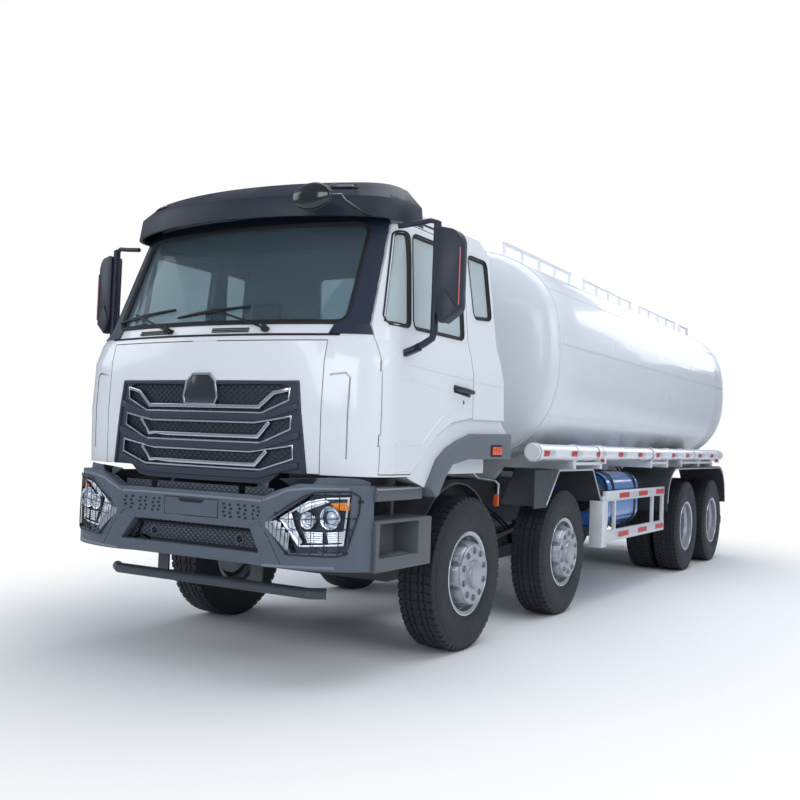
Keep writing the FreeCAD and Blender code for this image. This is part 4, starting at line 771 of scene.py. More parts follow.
sill = band("slot_bar", [(-0.500, 0, 0.872), (-0.440, 0, 0.880), (0.440, 0, 0.880), (0.500, 0, 0.872)], 0.016,
            0.016, out, round_edge=0.005)
frame_line = [(-0.455, 0, 0.878), (-0.540, 0, 0.770), (0.540, 0, 0.770), (0.455, 0, 0.878)]
frame_bar = band("slot_frame", frame_line, 0.018, 0.020, out, round_edge=0.006)
for obj in (sill, frame_bar):
    for v in obj.data.vertices:
        v.co.y += A1 - 1.548
placed(joined("slot_frame", [sill, frame_bar]), "chassis", dimple_black)
plate_edge = front([(-0.222, 1.058), (-0.222, 0.948), (0.222, 0.948), (0.222, 1.058)])
plates = [band("plate_edge", plate_edge, 0.005, 0.0015, out, closed=True, round_edge=0.0006, sink=0.001)]
latch = [(-0.110, 0.001, 1.052), (0.110, 0.001, 1.052), (0.085, 0.001, 1.030), (-0.085, 0.001, 1.030)]
plates.append(sliced(plate("plate_place", latch, (0, -0.004, 0), 0.001), 0, 0.1))
seam = [(0.548, 0.960), (0.640, 0.865), (0.742, 0.700)]
for side in (-1, 1):
    plates.append(band("seam", front(seam, side), 0.004, 0.0008, out, step=0.05, sink=0.001))
placed(behind_nose(drape(joined("bumper_lines", plates), bumper_skin, back)), "chassis",
       dimple_black)
lips = []
for side in (-1, 1):
    lips.append(band("lip", [(side * 0.560, 0, 0.752), (side * 0.655, 0, 0.868), (side * 0.560, 0, 0.962),
                             (side * 0.470, 0, 0.922)], 0.014, 0.004, out, step=0.04, round_edge=0.003,
                     sink=0.002))
lips.append(band("lip", [(-0.600, 0, 0.728), (0.600, 0, 0.728)], 0.070, 0.010, out, step=0.08,
                 round_edge=0.008, sink=0.002))
placed(behind_nose(drape(joined("bumper_lips", lips), bumper_skin, back)), "chassis",
       bumper_grey)
# the ridge strips are a lighter grey than the bumper: painted highlights where its rounded edges catch the
# light
highlight_ridges = []
shoulder = [(0.590, 1.080), (0.700, 1.122), (0.760, 1.150), (0.890, 1.168), (1.110, 1.172)]
lower_edge = [(0.600, 0.700), (1.050, 0.712)]
for path in (front([(-0.555, 0.750), (0.555, 0.750)]), front([(-0.580, 1.076), (0.580, 1.076)]),
             front(shoulder), front(shoulder, -1), front(lower_edge), front(lower_edge, -1)):
    highlight_ridges.append(band("ridge", path, 0.014, 0.002, out, step=0.05, round_edge=0.0015, sink=0.002))
placed(behind_nose(drape(joined("bumper_ridges", highlight_ridges), bumper_skin, back)), "chassis",
       finish("ridge_grey", srgb(124, 132, 144), 0.4, drift=0.12, scale=9, grain=0.2, grain_scale=620))
tilt_y, tilt_z, cab_sweep = -1.460, 0.940, 0.296
plan = [(0.600, -1.578), (0.665, -1.575), (0.780, -1.560), (0.900, -1.535), (1.000, -1.500), (1.080, -1.455),
        (1.140, -1.400), (1.165, -1.345)]
fairings = []
for side in (-1, 1):
    low_line = [(side * x, A1 + y, 1.090) for x, y in plan]
    fairing = draw_line("fairing", low_line)
    extruded()
    object_mode()
    for i, (x, y) in enumerate(plan):
        height = tilt_z + math.sqrt(cab_sweep ** 2 - (y - tilt_y) ** 2) if i else 1.100
        fairing.data.vertices[len(plan) + i].co = (side * (x - 0.012), A1 + y + 0.012, height)
    modified(fairing, "SOLIDIFY", thickness=0.006)
    edit_mode()
    ended()
    fairings.append(fairing)
placed(joined("bumper_fairings", fairings), "chassis", bumper_grey)

# Head lamps: a dark housing behind a clear cover, a large and a small projector, chromed reflectors, an
# amber turn lamp and a ribbed inner fin. The black wire guard is 8 mm rod on the bumper round the lamp.
lamp_outline = [(0.655, 0.965), (0.905, 1.135), (1.122, 1.140), (1.104, 0.800), (0.800, 0.785)]
lamp_bezel = [(0.702, 0.979), (0.880, 1.086), (0.979, 1.110), (1.100, 1.120), (1.078, 0.845), (0.834, 0.825)]


def tube(name, points, radius, closed=False, smooth=False, steps=3):
    """A round bar or hose along points, as a bevelled curve made into a mesh."""
    curve = bpy.data.curves.new(name, "CURVE")
    curve.dimensions = "3D"
    curve.bevel_depth = radius
    curve.bevel_resolution = steps
    curve.use_fill_caps = True
    line = curve.splines.new("NURBS" if smooth else "POLY")
    line.points.add(len(points) - 1)
    for place, point in zip(line.points, points):
        place.co = (*point, 1)
    line.use_cyclic_u = closed
    if smooth:
        line.order_u = 3
        line.use_endpoint_u = not closed
        curve.resolution_u = 6
    obj = bpy.data.objects.new(name, curve)
    bpy.context.scene.collection.objects.link(obj)
    pick(obj)
    bpy.ops.object.convert(target="MESH")
    obj = bpy.context.object
    smoothed(50)
    return obj


def facing(profile, x, z, steps=32):
    """A round piece that faces the front, from (radius, y) points about its centre."""
    return spun("round", [(x + r, y, z) for r, y in profile], steps=steps, axis=(0, 1, 0), centre=(x, 0, z))


lamp_skin = surface("headlamps")
depth_at = {}
for x in (0.88, 1.008):
    hit = lamp_skin.ray_cast(Vector((x, -8, 0.98)), Vector(back))
    depth_at[x] = hit[0].y
housing = sliced(plate("housing", [(x, 0.052, z) for x, z in lamp_outline], (0, 0.006, 0)), 0, 0.06)
wall = band("wall", front(lamp_outline), 0.006, 0.0, out, step=0.06, closed=True, sink=0.055)
dark_parts = [drape(housing, bumper_skin, back), drape(wall, bumper_skin, back)]
chrome_parts = []
bezel = band("bezel", front(lamp_bezel), 0.012, -0.012, out, step=0.05, closed=True, sink=0.024,
             round_edge=0.003)
chrome_parts.append(drape(bezel, bumper_skin, back))
for outline in ([(0.853, 0.912), (0.968, 0.914), (0.968, 0.848), (0.879, 0.845)],
                [(0.986, 0.914), (1.086, 0.925), (1.074, 0.858), (0.999, 0.850)]):
    for k in range(5):
        a = [Vector((x, 0, z)) for x, z in outline]
        row = [a[0].lerp(a[3], k / 5), a[1].lerp(a[2], k / 5), a[1].lerp(a[2], (k + 0.9) / 5),
               a[0].lerp(a[3], (k + 0.9) / 5)]
        flute = plate("flute", [p + Vector((0, 0.020, 0)) for p in row], (0, 0.012, 0), 0.003)
        chrome_parts.append(drape(sliced(flute, 0, 0.05), bumper_skin, back))
left_edge = [(0.705, 0.975), (0.775, 1.015), (0.800, 0.935), (0.850, 0.850), (0.836, 0.832)]
brow = [(0.800, 1.036), (0.880, 1.078), (0.979, 1.102), (1.000, 1.092), (0.900, 1.050), (0.830, 1.015)]
for outline, y in ((left_edge, 0.020), (brow, 0.024)):
    facet = plate("facet", [(x, y, z) for x, z in outline], (0, 0.010, 0), 0.002)
    chrome_parts.append(drape(sliced(facet, 0, 0.04), bumper_skin, back))
big = facing([(0.070, 0.020), (0.068, 0.010), (0.062, 0.012), (0.055, 0.030), (0.044, 0.040), (0.041, 0.034),
              (0.038, 0.042), (0.030, 0.050)], 1.006, 1.000, 40)
big.location.y = depth_at[1.008]
small = facing([(0.052, 0.022), (0.050, 0.012), (0.044, 0.014), (0.036, 0.034), (0.030, 0.038),
                (0.027, 0.030), (0.024, 0.040)], 0.880, 0.979, 36)
small.location.y = depth_at[0.88]
chrome_parts += [settle(big), settle(small)]
bulb_parts = []
for x, z, r in ((1.006, 1.000, 0.037), (0.880, 0.979, 0.024)):
    profile = [(r * math.cos(a), 0.036 - 0.55 * r * math.sin(a)) for a in (0, 0.3, 0.6, 0.9, 1.2, 1.4)]
    dome = facing(profile + [(0.0002, 0.036 - 0.55 * r)], x, z, 32)
    dome.location.y = depth_at[1.008 if x > 1 else 0.88]
    bulb_parts.append(settle(dome))
amber_parts = []
for k in range(9):
    x = 1.010 + 0.0115 * k
    low = 1.046 + max(0.0, 1.045 - x) * 0.9
    flute = plate("flute", [(x, 0.012, low), (x + 0.0105, 0.012, low), (x + 0.0105, 0.012, 1.088 + 0.001 * k),
                            (x, 0.012, 1.086 + 0.001 * k)], (0, 0.012, 0), 0.002)
    amber_parts.append(drape(flute, bumper_skin, back))
fin_parts = []
for k in range(6):
    x = 0.618 + k * 0.028
    top = 0.955 + (x - 0.600) * 0.20 if x < 0.69 else 0.975 - (x - 0.69) * 1.05
    low = 0.940 - (x - 0.600) * 0.80
    fin_parts.append(plate("fin", [(x, 0, low), (x + 0.023, 0, low - 0.018), (x + 0.023, 0, top - 0.002),
                                   (x, 0, top)], (0, -0.006, 0), 0.002))
fins = drape(joined("fins", fin_parts), bumper_skin, back)
guard = [(0.600, 0.952), (0.690, 1.006), (0.768, 1.056), (0.873, 1.122), (0.935, 1.146), (1.126, 1.158),
         (1.162, 1.130), (1.160, 1.036), (1.118, 0.836), (1.098, 0.792), (1.060, 0.780), (0.780, 0.776),
         (0.750, 0.800), (0.700, 0.850)]
wires = [front(guard)]
for x, z0, z1 in ((0.775, 0.786, 1.058), (0.846, 0.778, 1.104), (0.915, 0.778, 1.138), (0.989, 0.780, 1.148),
                  (1.064, 0.782, 1.153), (1.118, 0.840, 1.156)):
    wires.append([(x, 0, z0 + (z1 - z0) * i / 8) for i in range(9)])
for z0, z1, x0, x1 in ((0.912, 0.938, 0.650, 1.140), (0.975, 1.003, 0.640, 1.154)):
    wires.append([(x0 + (x1 - x0) * i / 10, 0, z0 + (z1 - z0) * i / 10) for i in range(11)])
guard_parts, guard_front = [], A1 - 1.6355
for i, wire in enumerate(wires):
    laid = []
    for point in resampled(wire, 0.04, closed=i == 0):
        hit = bumper_skin.ray_cast(Vector((point.x, -8, point.z)), Vector(back))
        laid.append((point.x, max(hit[0].y - (0.011 if i == 0 else 0.008), guard_front), point.z))
    guard_parts.append(tube("wire", laid, 0.0042 if i == 0 else 0.0026, closed=i == 0))
for x, z in ((1.162, 1.100), (1.104, 0.800), (0.770, 0.782), (0.690, 1.010)):
    foot = facing([(0.0001, -0.012), (0.009, -0.012), (0.011, -0.006), (0.011, 0.004)], x, z, 16)
    guard_parts.append(drape(foot, bumper_skin, back))
cover = sliced(plate("cover", [(x * 0.999, 0.0, z) for x, z in lamp_outline], (0, 0.003, 0)), 0, 0.03)
cover = drape(cover, bumper_skin, back)
clear = bpy.data.materials.new("clear_cover")
clear.use_nodes = True
pane = clear.node_tree.nodes["Principled BSDF"]
pane.inputs["Transmission Weight"].default_value = 1.0
pane.inputs["IOR"].default_value = 1.08
pane.inputs["Base Color"].default_value = (0.97, 0.98, 1.0, 1)
wave = node(clear.node_tree, "TexNoise", Scale=30)
spread = node(clear.node_tree, "MapRange", To_Min=0.01, To_Max=0.05)
clear.node_tree.links.new(wave.outputs["Fac"], spread.inputs["Value"])
clear.node_tree.links.new(spread.outputs["Result"], pane.inputs["Roughness"])
lamp_silver = finish("lamp_silver", srgb(232, 236, 242), 0.16, metal=1.0, drift=0.05, scale=40)
lens = finish("projector_lens", srgb(190, 205, 222), 0.04, metal=0.35, drift=0.2, scale=25, coat=1.0)
amber = finish("amber_lens", srgb(232, 132, 20), 0.2, drift=0.12, scale=60, coat=0.5)
fin_grey = finish("fin_silver", srgb(170, 176, 184), 0.3, metal=0.6, drift=0.1, scale=30)
wire_black = finish("wire_black", srgb(26, 28, 32), 0.35, drift=0.2, scale=40, grain=0.1)
housing_grey = finish("housing_grey", srgb(58, 66, 80), 0.25, metal=0.5, drift=0.25, scale=40, coat=0.3)
for name, parts, slot, material in (
        ("lamp_housing", dark_parts, "trim_black", housing_grey),
        ("lamp_reflectors", chrome_parts, "lamp_glass", lamp_silver),
        ("lamp_projectors", bulb_parts, "lamp_glass", lens),
        ("turn_lamp", amber_parts, "lamp_glass", amber),
        ("lamp_fins", [fins], "chrome_trim", fin_grey),
        ("lamp_guard", guard_parts, "trim_black", wire_black),
        ("lamp_cover", [cover], "lamp_glass", clear)):
    one = joined(name + "_left", parts) if len(parts) > 1 else parts[0]
    one.name = name + "_left"
    one.data.materials.clear()
    behind_nose(one)
    other = copy_of(one, name + "_right", flip=True)
    placed(one, "chassis", material)
    placed(other, "chassis", material)
    if name == "lamp_housing":
        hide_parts("headlamps")
        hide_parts("headlamps")

# Cab face: a dark moulded surround on both front pillars and over the windscreen, a black rubber seal
# round it, vents in the cowl below, and two wipers. Surround and seal are bonded to the shell; the
# wipers stand on spindles in the cowl.
cab_skin = surface("cab_shell", "cab_glass", "front_panel")
door_skin = surface("door_left", "door_glass_left", "cab_shell", "cab_glass")
left = (1, 0, 0)


def sheet_between(name, a, b, across, out, rise, step=0.06):
    """A skin between two lines with the same number of points, cut fine and given a thickness."""
    rows_a, rows_b = [], []
    for i in range(len(a) - 1):
        one, two = Vector(a[i]), Vector(a[i + 1])
        three, four = Vector(b[i]), Vector(b[i + 1])
        count = max(1, math.ceil(max((two - one).length, (four - three).length) / step))
        for k in range(count):
            rows_a.append(one.lerp(two, k / count))
            rows_b.append(three.lerp(four, k / count))
    rows_a.append(Vector(a[-1]))
    rows_b.append(Vector(b[-1]))
    obj = draw_line(name, rows_a)
    count = len(rows_a)
    for i in range(1, across + 1):
        extruded()
        object_mode()
        for k in range(count):
            obj.data.vertices[i * count + k].co = rows_a[k].lerp(rows_b[k], i / across)
        edit_mode()
    select_all()
    extruded(Vector(out) * rise)
    ended()
    return obj


def rounded(points, radius, steps=5):
    """A closed outline whose corners are rounded off."""
    points = [Vector(p) for p in points]
    path = []
    for i, corner in enumerate(points):
        before = (points[i - 1] - corner).normalized()
        after = (points[(i + 1) % len(points)] - corner).normalized()
        cut = min(radius, 0.45 * (points[i - 1] - corner).length,
                  0.45 * (points[(i + 1) % len(points)] - corner).length)
        start, end = corner + before * cut, corner + after * cut
        for k in range(steps + 1):
            share = k / steps
            path.append(start.lerp(corner, share).lerp(corner.lerp(end, share), share))
    return path


def both(obj, body, material):
    """Puts a left piece on its body with a mirror image on the other side."""
    other = copy_of(obj, obj.name.replace("_left", "") + "_right", flip=True)
    placed(obj, body, material)
    placed(other, body.replace("left", "right"), material)
    return other


navy_gloss = finish("surround_navy", srgb(34, 43, 60), 0.38, drift=0.07, scale=5, grain=0.06, grain_scale=300,
                    coat=0.12)
rubber_black = finish("seal_rubber", srgb(17, 19, 23), 0.6, drift=0.15, scale=30, grain=0.1)
inner_line = [(0.880, 2.096), (0.890, 2.172), (0.947, 2.215), (0.947, 2.270), (0.930, 2.740), (0.905, 2.805),
              (0.850, 2.832)]
outer_line = [(1.136, 2.096), (1.130, 2.172), (1.124, 2.215), (1.117, 2.270), (1.050, 2.740), (1.036, 2.850),
              (0.980, 2.905)]
fine_inner, fine_outer = [], []
for i in range(len(inner_line) - 1):
    for k in range(12):
        near = Vector(inner_line[i]).lerp(Vector(inner_line[i + 1]), k / 12)
        far = Vector(outer_line[i]).lerp(Vector(outer_line[i + 1]), k / 12)
        limit = cab_skin.ray_cast(Vector((near.x, -9, near.y)), Vector(back))[0].y + 0.17
        hit = cab_skin.ray_cast(Vector((far.x, -9, far.y)), Vector(back))
        while far.x > near.x + 0.03 and (hit[0] is None or hit[0].y > limit or abs(hit[1].y) < 0.25):
            far.x -= 0.003
            hit = cab_skin.ray_cast(Vector((far.x, -9, far.y)), Vector(back))
        fine_inner.append((near.x, 0, near.y))
        fine_outer.append((far.x, 0, far.y))
inner_line = fine_inner + [(0.850, 0, 2.832), (0.0, 0, 2.834)]
outer_line = fine_outer + [(0.980, 0, 2.905), (0.0, 0, 2.905)]
inner_line += [(-x, y, z) for x, y, z in inner_line[-2::-1]]
outer_line += [(-x, y, z) for x, y, z in outer_line[-2::-1]]
surround = drape(sheet_between("windscreen_surround", inner_line, outer_line, 10, out, 0.008, 0.03), cab_skin,
                 back, square=True)
placed(surround, "cab", navy_gloss)
opening = rounded([(0.950, 0, 2.172), (0.930, 0, 2.835), (-0.930, 0, 2.835), (-0.950, 0, 2.172)], 0.075, 6)
seal = drape(band("windscreen_seal", opening, 0.030, 0.012, out, closed=True, round_edge=0.005, sink=0.002),
             cab_skin, back, square=True)
placed(seal, "cab", rubber_black)
cowl = [band("line", front([(-0.950, 2.092), (0.950, 2.092)]), 0.014, 0.004, out, sink=0.002)]
drape(cowl[0], cab_skin, back)
for x0, x1 in ((0.045, 0.330), (-0.640, -0.300)):
    for z in (2.112, 2.123, 2.134):
        vent = band("vent", front([(x0, z), (x1, z)]), 0.007, 0.006, out, sink=0.002)
        cowl.append(drape(vent, cab_skin, back))
placed(joined("cowl_vents", cowl), "cab", rubber_black)


def on_front(x, z, proud=0.0):
    """A point on the cab's front, or a little in front of it."""
    hit = cab_skin.ray_cast(Vector((x, -9, z)), Vector(back))
    return Vector((x, hit[0].y - proud, z))


wipers = []
for x, tip, blade in ((0.462, 0.02, (-0.30, 0.28)), (-0.330, -0.74, (-0.96, -0.36))):
    pivot = on_front(x, 2.128, 0.004)
    wipers.append(tube("spindle", [pivot, pivot + Vector((0, -0.030, 0))], 0.016))
    wipers.append(tube("cap", [pivot + Vector((0, -0.024, 0)), pivot + Vector((0, -0.040, 0))], 0.023))
    end = on_front(tip, 2.262, 0.055)
    wipers.append(tube("arm", [pivot + Vector((0, -0.033, 0)), on_front(x - 0.10, 2.166, 0.05), end], 0.0075))
    wipers.append(tube("arm", [pivot + Vector((0.012, -0.033, 0.016)), on_front(x - 0.10, 2.180, 0.05)],
                       0.005))
    x0, x1 = blade
    line = [(x0 + (x1 - x0) * i / 8, 2.222 + 0.058 * i / 8) for i in range(9)]
    bow_line = [on_front(u, w, 0.022 + 0.030 * math.sin(math.pi * i / 8)) for i, (u, w) in enumerate(line)]
    wipers.append(tube("bow", bow_line, 0.006))
    rubber = [on_front(u, w, 0.011) for u, w in line]
    wipers.append(tube("blade", rubber, 0.0085))
wiper_pieces = joined("wipers", wipers)
placed(wiper_pieces, "cab", finish("wiper_black", srgb(20, 22, 26), 0.4, drift=0.15, scale=20))

# Side windows and doors: rubber seals round the panes, creases and a lip pressed in the steel, a black
# pull handle in its cup, a lock below it, and a rain gutter along the roof's edge.
panes = {"front": [(-1.235, 2.180), (-1.005, 2.180), (-0.945, 2.785), (-1.025, 2.785)],
         "rear": [(-0.950, 2.180), (-0.260, 2.180), (-0.240, 2.785), (-0.900, 2.785)],
         "quarter": [(-0.060, 2.355), (0.210, 2.375), (0.180, 2.790), (-0.110, 2.790)]}
seals = []
for name, outline in panes.items():
    path = rounded([(0, A1 + y, z) for y, z in outline], 0.045, 5)
    seal = drape(band("seal", path, 0.026, 0.007, left, step=0.12, closed=True, round_edge=0.004, sink=0.002),
                 door_skin, (-1, 0, 0), square=True)
    if name == "quarter":
        seal.name = "quarter_seal_left"
        both(seal, "cab", rubber_black)
    else:
        seals.append(seal)
seals = joined("pane_seals_left", seals)
both(seals, "door_left", rubber_black)


def on_side(name, path, width, rise, round_edge=0.0, sink=0.003, step=0.1, closed=False):
    """A strip laid along the left side of the cab, from (y, z) points counted from axle 1."""
    return drape(band(name, [(0, A1 + y, z) for y, z in path], width, rise, left, step=step, closed=closed,
                      round_edge=round_edge, sink=sink), door_skin, (-1, 0, 0), square=True)


emboss = [(-1.235, 1.478), (-1.215, 1.452), (-1.190, 1.446), (-0.905, 1.446), (-0.872, 1.454),
          (-0.850, 1.476), (-0.660, 1.612), (-0.480, 1.688), (-0.330, 1.712)]
presses = [on_side("crease", [(-1.150, 1.858), (-0.300, 1.778)], 0.013, 0.0035, 0.003),
           on_side("belt", [(-1.322, 1.955), (-0.800, 1.928), (-0.200, 1.905)], 0.020, 0.003, 0.0028),
           on_side("sill_lip", [(-1.290, 1.282), (-1.020, 1.282)], 0.010, 0.003, 0.0026),
           on_side("emboss", emboss, 0.012, 0.0035, 0.003)]
both(joined("door_creases_left", presses), "door_left", white_paint)
cup = on_side("cup", [(-0.480, 1.822), (-0.235, 1.808)], 0.060, 0.003, 0.0026)
pull = on_side("pull", [(-0.490, 1.830), (-0.215, 1.815)], 0.032, 0.034, 0.012)
lock = on_side("lock", [(-0.335, 1.752), (-0.335, 1.728)], 0.024, 0.006, 0.005)
both(joined("door_handle_left", [cup, pull, lock]), "door_left",
     finish("handle_black", srgb(22, 26, 34), 0.32, drift=0.12, scale=30, grain=0.06))
corner = [on_side("rear_belt", [(-0.180, 1.904), (0.280, 1.890)], 0.020, 0.003, 0.0028)]
both(joined("corner_creases_left", corner), "cab", white_paint)
gutter = tube("gutter_left", [(1.03, A1 - 0.98, 2.868), (1.045, A1 - 0.80, 2.888), (1.052, A1 - 0.2, 2.890),
                              (1.050, A1 + 0.28, 2.886)], 0.009)
for v in gutter.data.vertices:
    hit = door_skin.ray_cast(Vector((2.2, v.co.y, v.co.z)), Vector((-1, 0, 0)))
    if hit[0] is not None:
        v.co.x = hit[0].x + (v.co.x - 1.045) * 0.7
both(gutter, "cab", rubber_black)

# Sun visor: dark moulded plastic over the windscreen, held by the roof, with two recessed marker lamps.
# The marker lamps are clear lenses in black bezels.
visor_skin = surface("sun_visor")
visor_navy = finish("visor_navy", srgb(26, 33, 48), 0.5, drift=0.08, scale=5, grain=0.12, grain_scale=420)
dressed("sun_visor", visor_navy, angle=35, bevel=0.004)
marker_sizes = ((0.690, 0.870, 3.052, 3.088, 0.010), (0.715, 0.845, 3.060, 3.080, 0.017))
markers, lights = [], []
for side in (-1, 1):
    for k, (x0, x1, z0, z1, rise) in enumerate(marker_sizes):
        outline = rounded([(side * x0, 0, z0), (side * (x0 + 0.02), 0, z1), (side * (x1 - 0.02), 0, z1),
                           (side * x1, 0, z0)], 0.010, 3)
        piece = sliced(plate("marker", outline, (0, -rise, 0), 0.003), 0, 0.05)
        (lights if k else markers).append(drape(piece, visor_skin, back))
placed(joined("visor_marker_bezels", markers), "cab", rubber_black)
placed(joined("visor_marker_lenses", lights), "cab",
       finish("marker_lens", srgb(118, 124, 132), 0.12, metal=0.2, drift=0.15, scale=60, coat=0.6))

# Mirrors: faceted navy housings on bent tube arms with silvered glass facing the driver, a thin red edge
# lamp, and an oval mirror ahead of the visor on a bent rod.
post_x = 1.395
my = A1 - 1.010
mirror_navy = finish("mirror_navy", srgb(30, 37, 52), 0.42, drift=0.08, scale=8, grain=0.14, grain_scale=520)
silver_glass = finish("mirror_glass", srgb(214, 220, 226), 0.04, metal=1.0, drift=0.02, scale=6)
house = [(0, 2.290), (0.040, 2.184), (0.160, 2.270), (0.160, 2.700), (0.120, 2.764), (0, 2.788)]
house = rounded([(post_x + x, my - 0.062, z) for x, z in house], 0.030, 4)
head = plate("head", house, (0, 0.112, 0), 0.016, 3)
for v in head.data.vertices:
    lean = (v.co.x - post_x) / 0.160
    if v.co.y < my - 0.02:
        v.co.y += 0.034 * lean * lean
facet_line = [(post_x + 0.004, my - 0.068, 2.296), (post_x + 0.042, my - 0.068, 2.188),
              (post_x + 0.152, my - 0.038, 2.270), (post_x + 0.060, my - 0.064, 2.405)]
facet = plate("facet", rounded(facet_line, 0.008, 2), (0, 0.050, 0), 0.004)
post = band("post", [(post_x - 0.014, my - 0.020, 2.118), (post_x - 0.014, my - 0.020, 2.830)], 0.036, 0.026,
            (0, -1, 0), round_edge=0.010, sink=0.022)
upper_arm = [(post_x - 0.016, my - 0.020, 2.800), (post_x - 0.020, my - 0.024, 2.822),
             (post_x - 0.060, my - 0.028, 2.832), (1.250, my - 0.040, 2.820), (1.120, my - 0.052, 2.808)]
lower_arm = [(post_x - 0.014, my - 0.020, 2.150), (post_x - 0.020, my - 0.030, 2.100),
             (post_x - 0.055, my - 0.070, 2.062), (1.300, my - 0.110, 2.030), (1.240, my - 0.118, 2.006)]
arms = [tube("arm", upper_arm, 0.016), tube("arm", lower_arm, 0.022),
        band("bracket", [(1.218, my - 0.120, 1.996), (1.330, my - 0.105, 2.040)], 0.044, 0.020, (0, -1, 0),
             round_edge=0.008, sink=0.020)]
mirror = joined("mirror_housing_left", [head, facet, post] + arms)
other = both(mirror, "door_left", mirror_navy)
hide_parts("mirror_left")
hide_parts("mirror_right")
face_line = [(post_x + 0.018, my + 0.051, 2.300), (post_x + 0.144, my + 0.051, 2.330),
             (post_x + 0.144, my + 0.051, 2.690), (post_x + 0.020, my + 0.051, 2.760)]
face = plate("mirror_face_left", rounded(face_line, 0.02, 4), (0, 0.004, 0), 0.001)
both(face, "door_left", silver_glass)
edge = tube("mirror_lip_left", [(post_x + 0.155, my - 0.036, 2.650), (post_x + 0.155, my - 0.036, 2.300)],
            0.004)
both(edge, "door_left",
     finish("edge_lamp", srgb(196, 96, 104), 0.25, drift=0.1, scale=30, coat=0.4))
oval_x, oval_z = 0.770, 2.925


def oval_path(y, wide, high):
    """The points of an upright oval round the middle of the front mirror."""
    turns = [2 * math.pi * k / 40 for k in range(40)]
    return [(oval_x + wide * math.cos(a), A1 + y, oval_z + high * math.sin(a)) for a in turns]


deselect()
bpy.ops.mesh.primitive_uv_sphere_add(segments=48, ring_count=24, radius=0.1)
dome = bpy.context.object
dome.name = "dome"
dome.scale = (1.40, 0.33, 0.80)
dome.location = (oval_x, A1 - 1.520, oval_z)
bpy.ops.object.transform_apply(location=True, rotation=False, scale=True)
edit_mode()
select_all()
bpy.ops.mesh.bisect(plane_co=(0, A1 - 1.512, 0), plane_no=(0, 1, 0), clear_outer=True, use_fill=True)
object_mode()
smoothed(50)
rim = tube("rim", oval_path(-1.512, 0.1395, 0.080), 0.0055, closed=True)
rod_line = tube("rod", [(0.860, A1 - 1.500, 2.925), (0.945, A1 - 1.462, 2.930), (0.963, A1 - 1.448, 2.900),
                        (0.975, A1 - 1.330, 2.872), (0.985, A1 - 1.185, 2.868)], 0.009)
oval = joined("front_mirror_body", [dome, rim, rod_line])
placed(oval, "cab",
       finish("front_mirror_black", srgb(16, 20, 26), 0.16, drift=0.1, scale=8, coat=0.7))
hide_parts("front_mirror")
placed(plate("front_mirror_face", oval_path(-1.508, 0.132, 0.073), (0, 0.003, 0)), "cab",
       finish("front_mirror_glass", srgb(120, 134, 142), 0.05, metal=1.0, drift=0.25, scale=14))

# Hubs and rim trim: the front hub covers carry ten nuts in cups round a plain centre plate, with a
# raised outer lip; the driven hubs show ten nuts in the dish and twelve flange bolts. Each rim has a
# bright rolled edge and a valve. They are made once for each kind and copied to every axle.
cup_r = 0.166
front_face = 1.2085


def nut(x, r, size, height):
    """A six-sided nut with a stud end, on the axle's left side at radius r straight up."""
    sides = [(x, size * math.cos(a), r + size * math.sin(a)) for a in [math.pi / 3 * k for k in range(6)]]
    stud = [(x, 0.45 * size * math.cos(a), r + 0.45 * size * math.sin(a))
            for a in [math.pi / 5 * k for k in range(10)]]
    return [plate("nut", sides, (height, 0, 0), size * 0.12, 1),
            plate("stud", stud, (height * 1.35, 0, 0), 0.001, 1)]


def turned(name, profile):
    """A ring about the wheel's axle from (x, radius) points."""
    return spun(name, [(x, 0, r) for x, r in profile])


lip = spun("lip", [(front_face - 0.001, 0, cup_r + 0.0265), (front_face + 0.006, 0, cup_r + 0.0255),
                   (front_face + 0.006, 0, cup_r + 0.0225), (front_face - 0.001, 0, cup_r + 0.0205)],
           steps=20, centre=(0, 0, cup_r))
lips = repeated(lip, 10)
ring = turned("ring", [(1.196, 0.213), (1.207, 0.2125), (1.213, 0.208), (1.213, 0.2035), (1.2075, 0.199)])
groove = turned("groove", [(1.2085, 0.112), (1.2115, 0.109), (1.2115, 0.105), (1.2085, 0.102)])
centre_ring = turned("centre", [(1.2355, 0.082), (1.2375, 0.080), (1.2375, 0.076), (1.2355, 0.074)])
hub_silver = joined("hub_silver", [lips, ring, groove, centre_ring])
# a near-black disc on the floor of each nut cup is painted shade round the nut
pocket = spun("pocket", [(front_face + 0.0006, 0, cup_r + 0.0225), (front_face + 0.0006, 0, cup_r + 0.0001)],
              steps=20, centre=(0, 0, cup_r))
hub_dark = repeated(pocket, 10)
hub_nuts = repeated(joined("nuts", nut(front_face, cup_r, 0.0165, 0.015)), 10)
rear_nuts = joined("rear_nuts", [repeated(joined("nuts", nut(0.944, 0.1675, 0.019, 0.026)), 10),
                                 repeated(joined("bolts", nut(1.079, 0.088, 0.0105, 0.009)), 12)])
rear_ring = turned("rear_ring", [(1.079, 0.072), (1.086, 0.070), (1.089, 0.040), (1.089, 0.0002)])


def rim_edge(x):
    """The rolled outer flange and the valve of a rim whose outer edge is at x."""
    flange = turned("flange", [(x - 0.004, 0.281), (x + 0.002, 0.283), (x + 0.006, 0.290), (x + 0.005, 0.297),
                               (x - 0.002, 0.300), (x - 0.010, 0.299)])
    valve = tube("valve", [(x - 0.090, 0.03, 0.232), (x - 0.040, 0.03, 0.246), (x - 0.010, 0.03, 0.250)],
                 0.0055)
    return joined("edge", [flange, valve])


